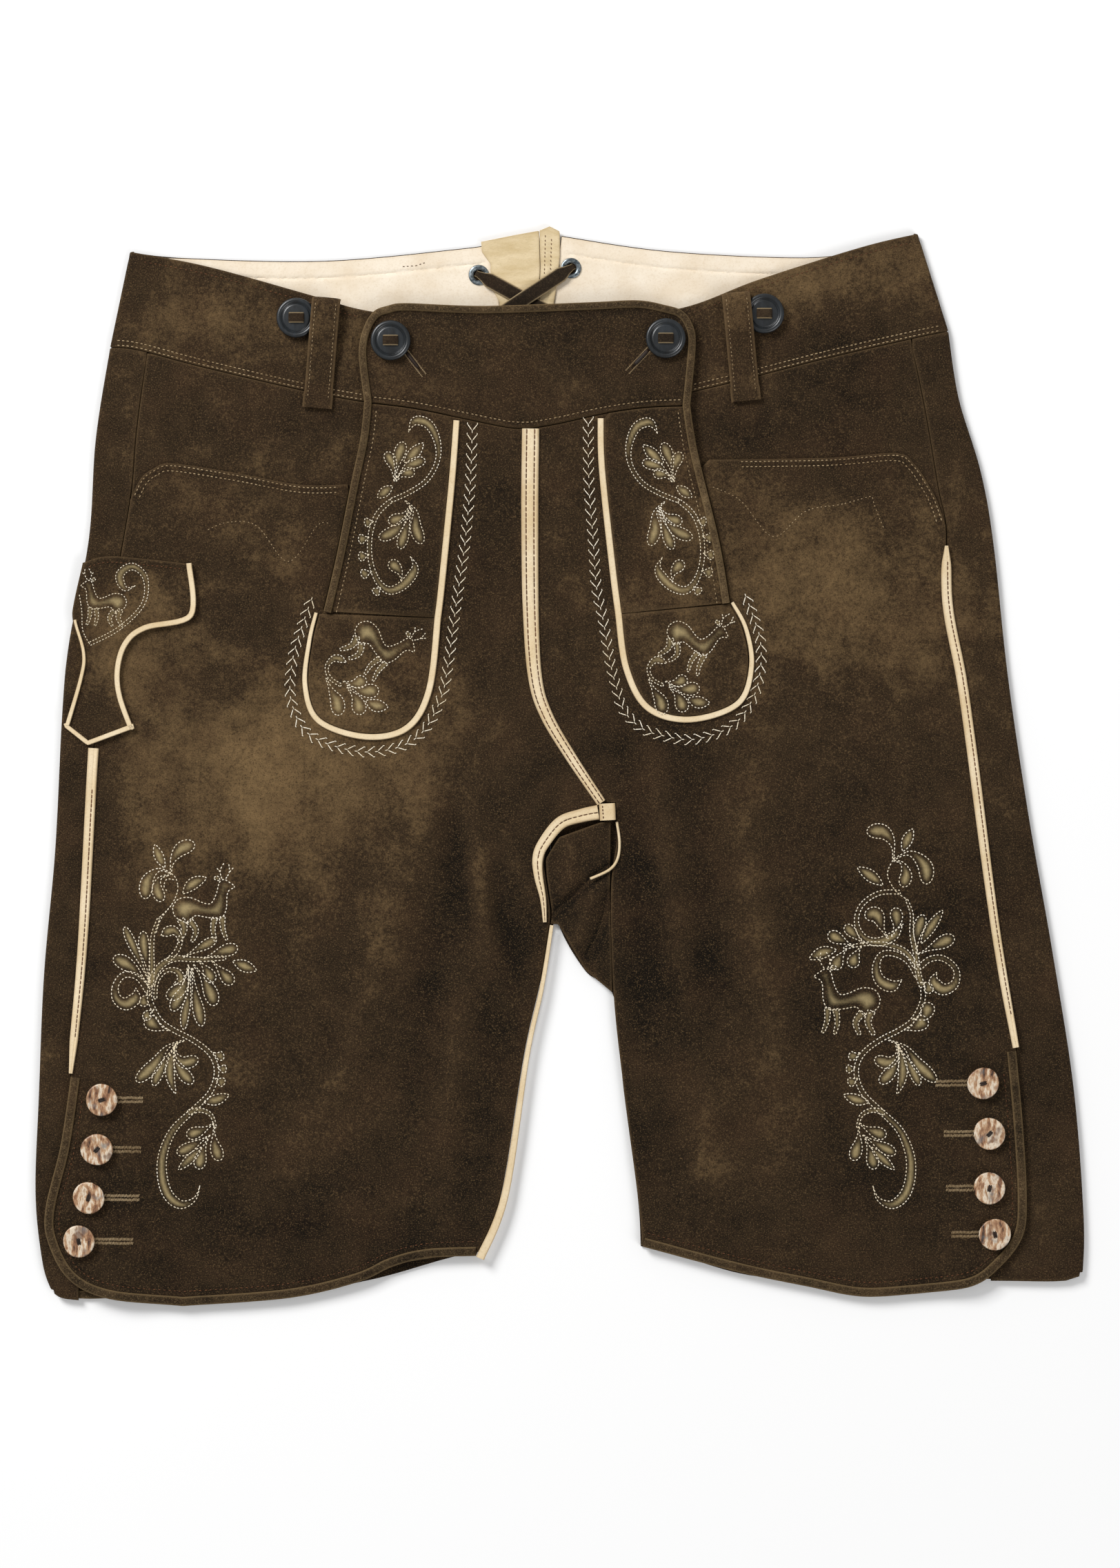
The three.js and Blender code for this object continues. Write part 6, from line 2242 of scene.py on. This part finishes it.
@dataclass
class Crotch:
    """The centre piping, the gusset between the legs, and the cream pieces round it."""

    wardrobe: Wardrobe

    def build(self) -> None:
        """Make and dress the pieces."""
        brown = Thread("piping_rows", 0.7, 81)
        line = CENTRE_FRONT.copy()
        line[0][1] -= SEAM_GAP
        profile = flat_profile(PIPING * 1.1, (-0.22, 0.24), 0.35)
        piece = sweep("centre_front_piping", line, np.array([10, 10, 9.6, 8.4, 6.8, 5.5]), on_front, profile)
        self.wardrobe.dress(piece, "cream", "centre_piping")
        widths = np.interp(np.linspace(0, 1, len(line)), [0, 0.4, 0.6, 0.8, 1], [10, 9.6, 8.4, 6.8, 5.5])
        for share in (-0.22, 0.24):
            brown.run(parallel(line, widths * share), on_front, pitch=3.2, share=1.0, lift=PIPING - 0.12)
        band = spline((22.2, -26.6), (12, -28.6), (0, -33), (-10, -45.5), (-13, -54), (-12.4, -64), (-9.8, -77),
                      (-8.8, -90.4))
        piece = sweep("gusset_band", band, np.array([8.4, 7.6, 7.4, 7, 6.2, 5.0, 3.4, 2.2]), on_front,
                      flat_profile(PIPING * 1.1, (0.05,), 0.35))
        self.wardrobe.dress(piece, "cream", "gusset_piping")
        brown.run(band, on_front, pitch=3.0, share=1.0, lift=PIPING - 0.1)
        cross = np.array([(27.3, -21.5), (27.8, -31.2)])
        piece = sweep("crotch_cross", cross, np.array([9.4, 9.2]), on_strip, flat_profile(PIPING), 1.2)
        self.wardrobe.dress(piece, "cream", "crotch_crosspiece")
        brown.run(np.array([(24.6, -22.5), (25.2, -30.5)]), on_strip, pitch=2.2, share=0.7, lift=PIPING)
        thin = spline((33, -32.2), (34.6, -44), (33.4, -53.6), (28.6, -60), (17.6, -65.2))
        piece = sweep("crotch_thin_edge", thin, 1.6, on_front, rolled_profile(0.9), 1.2)
        self.wardrobe.dress(piece, "cream", "crotch_thin_piping")
        self.gusset()
        self.inseam()
        self.sides(brown)
        self.wardrobe.dress(brown.build(), "brown_thread")

    def gusset(self) -> None:
        """Make the gusset, with the two creases that it folds along."""
        shape = np.array([(23.8, -32.2), (29.6, -32.2), (29.2, -72), (30.6, -131.6), (14.8, -118.6), (-1, -91.8),
                          (-5.4, -91.8), (-5, -83), (-7.9, -63.6), (-8.4, -53.6), (-0.8, -41)], dtype=float)
        outline = outline_of(looped(shape), pitch=1.6)
        # the last number of each is painted shade: the two creases are darkened beside their troughs, and the two soft
        # ridges lightened as painted light
        creases = (Groove(spline((29, -58), (14, -70), (-4, -87)), 2.0, 3.2, 0.45),
                   Groove(spline((29, -74), (25, -92), (17, -110)), 2.0, 3.4, 0.48),
                   Groove(spline((6, -46), (6, -60), (2, -72)), -1.2, 6.0, -0.12),
                   Groove(spline((18, -76), (14, -90), (10, -102)), -1.2, 4.5, -0.10))
        panel = Panel("gusset", outline, under_layer, LEATHER, creases, pitch=2.4, tone=-0.02)
        self.wardrobe.cut(panel, "suede", "crotch_gusset", ["back_leg_left", "back_leg_right"])

    def inseam(self) -> None:
        """Make the piping down the left leg's inner edge."""
        edge = LEFT.inseam[::-1]
        widths = np.interp(np.linspace(0, 1, len(edge)), [0, 0.4, 1], [2.2, 3.0, 5.0])
        line = parallel(edge, widths / 2 + SEAM_GAP / 2)
        piece = sweep("inseam_edge_piping", line, widths, on_front, flat_profile(PIPING))
        self.wardrobe.dress(piece, "cream", "inseam_piping")

    def sides(self, brown: Thread) -> None:
        """Make the piping down both side seams.

        Args:
            brown: The thread along it.
        """
        for half in HALVES:
            low = half.slit[0][1] + 2
            seam = half.side_seam[(half.side_seam[:, 1] < half.side_piping_from) & (half.side_seam[:, 1] > low + 5)]
            line = np.vstack([(crossing(half.side_seam, half.side_piping_from), half.side_piping_from), seam,
                              (crossing(half.side_seam, low), low)])
            start, end = (6.2, 2.2) if half.side < 0 else (2.0, 3.8)
            widths = np.interp(np.linspace(0, 1, 60), [0, 0.04, 0.5, 0.9, 1], [start, 6, 5.8, 4.8, end])
            piece = sweep(f"side_seam_piping_{half.name}", line, widths, on_front,
                          flat_profile(PIPING * 1.1, (0.12,), 0.3))
            self.wardrobe.dress(piece, "cream", f"side_piping_{half.name}")
            brown.run(parallel(line, 0.7)[2:-2], on_front, pitch=2.8, share=0.94, lift=PIPING - 0.05)


@dataclass
class Hems:
    """The dark binding round each leg's slit and hem."""

    wardrobe: Wardrobe
    width: float = 5.5

    def build(self) -> None:
        """Make and dress the four bindings."""
        for half in HALVES:
            line = joined(half.slit, half.hem)
            front = parallel(line, half.side * -(self.width / 2 + 0.1))
            piece = sweep(f"hem_edge_front_{half.name}", front, self.width - 0.2, on_front, rolled_profile(1.1))
            self.wardrobe.dress(piece, "edge", f"hem_binding_front_{half.name}")
            under = half.back_hem[np.abs(half.back_hem[:, 0]) < 285]
            rear = parallel(under, half.side * -(self.width / 2 + 0.4))
            piece = sweep(f"hem_edge_back_{half.name}", rear, self.width - 0.8, level(LINING_UNDER),
                          flat_profile(BINDING))
            self.wardrobe.dress(piece, "edge", f"hem_binding_back_{half.name}")


@dataclass
class KnifePocket:
    """The knife pocket on the wearer's right thigh, edged with cream piping."""

    wardrobe: Wardrobe

    def build(self) -> None:
        """Make and dress the pocket and its piping."""
        mouth = spline((-277.5, 118.6), (-264, 122.5), (-244, 121.4), (-213, 118))
        right = spline((-213, 118), (-212.4, 86.4), (-240, 78.4), (-250.4, 70), (-254.6, 56), (-253.4, 41),
                       (-246.4, 21.5))
        foot = np.array([(-246.4, 21.5), (-274, 11.4), (-288.6, 22.4)])
        left = spline((-288.6, 22.4), (-280, 52), (-278.6, 66), (-283.6, 84.6), (-282.8, 96), (-277.5, 118.6))
        outline = outline_of(mouth, right, foot, left, gap=0.7)
        row = parallel(mouth, -4.2)[2:-2]
        work = Embroidery(KNIFE_MOTIFS, 0.6)
        panel = Panel("knife_pocket_leather", outline, on_front, OVERLAY, (Groove(row, 0.25, 0.9, 0.08),), work,
                      pitch=2.6, round_over=0.6)
        self.wardrobe.cut(panel, "suede", "knife_pocket", ["front_leg_left", "back_leg_left"])
        stitches = Thread("knife_pocket_embroidery", 0.5, 91)
        stitches.trace(work, panel.top, 1.9, 0.66)
        self.wardrobe.dress(stitches.build(), "cream_thread")
        dark = Thread("knife_pocket_row", 0.45, 92)
        dark.run(row, raised(on_front, OVERLAY), pitch=2.6, share=0.6, lift=-0.05)
        self.wardrobe.dress(dark.build(), "brown_thread")
        edge = joined(right, foot, left[: len(left) * 5 // 8])
        piece = sweep("knife_pocket_edge", parallel(edge, -2.2), np.array([3.2, 3.2, 3.0, 2.4, 1.6]), on_strip,
                      flat_profile(PIPING), 1.0)
        self.wardrobe.dress(piece, "cream", "knife_pocket_piping")


# ---- buttons, buttonholes and belt loops ----
def seat(surface: Surface, x: float, y: float, radius: float) -> float:
    """Find the height on which a round thing can rest.

    Args:
        surface: What it rests on.
        x: Its middle's x.
        y: Its middle's y.
        radius: Its radius.

    Returns:
        The height.
    """
    turns = np.radians(np.arange(0, 360, 45))
    return float(max(surface(np.float64(x), np.float64(y)),
                     surface(x + radius * np.cos(turns), y + radius * np.sin(turns)).max()))


@dataclass
class Buttons:
    """Four dark horn buttons held by thongs, eight antler buttons, and the leg buttonholes."""

    wardrobe: Wardrobe
    thong: tuple[float, float, float] = (10.0, 6.0, 1.0)

    def build(self) -> None:
        """Make and dress every button."""
        holes = Thread("leg_buttonholes", 0.5, 101)
        sewn = Thread("button_threads", 1.3, 102)
        for half in HALVES:
            self.dark(f"brace_button_{half.name}", f"brace_thong_{half.name}", half.brace_button, on_band)
            self.dark(f"flap_button_{half.name}", f"flap_thong_{half.name}", half.flap_button,
                      raised(front_layer, BAND))
            for i, (place, end) in enumerate(zip(half.horn_buttons, half.buttonhole_ends)):
                self.antler(f"leg_button_{half.name}_{i + 1}", place, sewn, i)
                self.buttonhole(holes, place, end)
        self.wardrobe.dress(holes.build(), "tan_thread")
        self.wardrobe.dress(sewn.build(), "dark_thread")

    def dark(self, name: str, thong: str, place: tuple[float, float], surface: Surface) -> None:
        """Make a dark button with a raised rim and a sunk middle, and the thong through it.

        Args:
            name: The button's node.
            thong: The thong's node.
            place: Its middle.
            surface: What it lies on.
        """
        radius, height = BUTTON_DARK
        rim = [(radius - 1.5 + 1.5 * math.cos(t), height - 1.3 + 1.3 * math.sin(t))
               for t in np.linspace(-0.2, math.pi * 0.85, 9)]
        inner = [(radius - 3.2, height - 1.0), (radius - 3.5, height - 1.15), (radius - 3.8, height - 0.85),
                 (radius - 4.6, height - 0.75), (0.0, height - 0.8)]
        profile = [(0.0, 0.0), (radius - 1.6, 0.0), (radius - 0.4, 0.5), *rim, *inner]
        z = seat(surface, *place, radius) + LAY_GAP
        self.wardrobe.dress(turned(f"{name}_disc", profile, (*place, z), 72), "dark_horn", name)
        length, width, thickness = self.thong
        reach = length / 2
        top = z + height - 0.9 + SEAM_GAP + thickness / 2
        lifts = ((-1, -0.35), (-0.92, -0.05), (-0.6, 0.15), (0, 0.2), (0.6, 0.15), (0.92, -0.05), (1, -0.35))
        path = smooth_path([(place[0] + s * reach * 0.8, place[1], top + lift) for s, lift in lifts], 3)
        piece = strap(f"{thong}_leather", path, np.full(len(path), width), thickness, 0.15)
        self.wardrobe.dress(piece, "lace", thong)

    def antler(self, name: str, place: tuple[float, float], sewn: Thread, turn: int) -> None:
        """Make an antler button, slightly out of round, and sew it through its two holes.

        Args:
            name: The button's node.
            place: Its middle.
            sewn: The thread.
            turn: Its number down the leg, which turns its stitches.
        """
        radius, height = BUTTON_HORN
        z = seat(raised(front_layer, LEATHER), *place, radius) + LAY_GAP
        rim = [(radius - 0.9 + 0.9 * math.cos(t), height - 1.5 + 0.9 * math.sin(t))
               for t in np.linspace(-0.6, math.pi / 2, 7)]
        profile = [(0.0, 0.0), (radius - 1.4, 0.0), (radius - 0.3, 0.8), *rim, (radius - 2.2, height - 0.55),
                   (radius * 0.5, height - 0.75), (0.0, height - 0.8)]
        self.wardrobe.dress(turned(f"{name}_disc", profile, (*place, z), 48, 0.018), "stag_horn", name)
        way = np.array([math.cos(0.5 * turn + 0.3), math.sin(0.5 * turn + 0.3)]) * 2.3
        face = level(z + height - 0.78)
        for shift in (-0.5, 0.5):
            side = np.array([-way[1], way[0]]) / 2.3 * shift
            sewn.stroke(np.array(place) - way + side, np.array(place) + way + side, face, 0.12)

    def buttonhole(self, thread: Thread, place: tuple[float, float], end: float) -> None:
        """Sew a buttonhole that shows from under a button to its end.

        Args:
            thread: The thread.
            place: The button's middle.
            end: The end's x.
        """
        line = even(np.array([place, (end, place[1] - 0.4)]), 0.8)
        face = raised(front_layer, LEATHER)
        for offset in (-1.15, 1.15):
            jitter = thread.random.normal(0, 0.12, (len(line), 1)) * [0, 1]
            thread.stroke(line + [-0.25, offset - 1.0] + jitter, line + [0.25, offset + 1.0] + jitter, face, 0.1)


@dataclass
class BeltLoops:
    """The two belt loops, which bow up over the brace buttons' edges."""

    wardrobe: Wardrobe
    turned_under: float = 16.0
    ends: float = 22.0
    area_share: float = 0.58

    def build(self) -> None:
        """Make and dress both loops."""
        tan = Thread("loop_rows", 0.42, 111)
        rise = BUTTON_DARK[1] + LAY_GAP + 0.3
        lifts = ((0, 0.2), (0.045, rise), (0.3, rise), (0.44, rise - 1.4), (0.62, 0.9), (0.8, 0.3), (1, 0.3))
        for half in HALVES:
            top, foot = np.array(half.loop_top), np.array(half.loop_foot)
            points = []
            for share, lift in lifts:
                x, y = top + (foot - top) * share
                points.append((x, y, seat(on_band, x, y, LOOP_WIDTH / 2) + LOOP_THICKNESS / 2 + LAY_GAP + lift))
            path = smooth_path(points, 8)
            widths = np.full(len(path), LOOP_WIDTH)
            widths[-6:] += 0.8
            piece = strap(f"belt_loop_{half.name}_strap", path, widths, LOOP_THICKNESS, 0.25)
            self.wardrobe.dress(piece, "suede", f"belt_loop_{half.name}")
            size = (LOOP_WIDTH + self.turned_under) * MM, (math.hypot(*(top - foot)) + self.ends) * MM
            size[0] * size[1] * self.area_share
            for u in (-0.36, 0.36):
                across = np.array([-(foot - top)[1], (foot - top)[0]]) / math.hypot(*(foot - top))
                line = path[8:-4, :2] + across * u * LOOP_WIDTH
                over = lambda x, y, p=path: np.interp(-np.asarray(y), -p[:, 1], p[:, 2]) + LOOP_THICKNESS / 2
                tan.run(line, over, pitch=2.4, share=0.55, lift=0.14)
        self.wardrobe.dress(tan.build(), "tan_thread")


# ---- the room ----
@dataclass(frozen=True)
class Studio:
    """The floor, the light and the camera straight above."""

    lens: float = 85.0
    sensor: float = 36.0
    frame_height: float = 0.9092
    middle: tuple[float, float] = (0.0, -0.0102)
    floor_size: float = 6.0
    sky: float = 0.36
    key_power: float = 150.0
    fill_share: float = 0.36
    garment_height: float = 0.008

    def build(self, wardrobe: Wardrobe) -> None:
        """Set up the room.

        Args:
            wardrobe: Makes the finish of the floor.
        """
        half = self.floor_size / 2
        mesh = bpy.data.meshes.new("floor")
        corners = [(x, y, -0.0002) for x, y in ((-half, -half), (half, -half), (half, half), (-half, half))]
        mesh.from_pydata(corners, [], [(0, 1, 2, 3)])
        floor = bpy.data.objects.new("floor", mesh)
        bpy.context.scene.collection.objects.link(floor)
        floor.data.materials.append(wardrobe.material("floor"))
        world = bpy.data.worlds.new("room")
        bpy.context.scene.world = world
        world.use_nodes = True
        sky = world.node_tree.nodes["Background"]
        sky.inputs["Color"].default_value = (1.0, 1.0, 1.0, 1.0)
        sky.inputs["Strength"].default_value = self.sky
        self.lamp("key", (-2.2, 2.4, 2.5), 1.5, self.key_power)
        self.lamp("fill", (2.4, -2.2, 2.8), 2.2, self.key_power * self.fill_share)
        camera = bpy.data.cameras.new("camera")
        camera.lens = self.lens
        camera.sensor_width = self.sensor
        holder = bpy.data.objects.new("camera", camera)
        holder.location = (*self.middle, self.frame_height * self.lens / self.sensor + self.garment_height)
        bpy.context.scene.collection.objects.link(holder)
        bpy.context.scene.camera = holder
        bpy.context.scene.view_settings.view_transform = "Standard"

    def lamp(self, name: str, place: tuple[float, float, float], size: float, power: float) -> None:
        """Hang a soft square light that faces the garment.

        Args:
            name: Its name.
            place: Where it hangs.
            size: The length of its side.
            power: Its power.
        """
        light = bpy.data.lights.new(name, "AREA")
        light.energy = power
        light.size = size
        holder = bpy.data.objects.new(name, light)
        holder.location = place
        holder.rotation_euler = Vector(place).to_track_quat("Z", "Y").to_euler()
        bpy.context.scene.collection.objects.link(holder)


def main() -> None:
    """Build the room and every sub-assembly in order."""
    logging.basicConfig(level=logging.INFO, format="%(name)s: %(message)s")
    wardrobe = Wardrobe()
    Studio().build(wardrobe)
    for part in (BackLegs, Waistband, LacedNotch, FrontLegs, Flap, Crotch, Hems, KnifePocket, Buttons, BeltLoops):
        log.info("building %s", part.__name__)
        part(wardrobe).build()


if __name__ == "__main__":
    main()
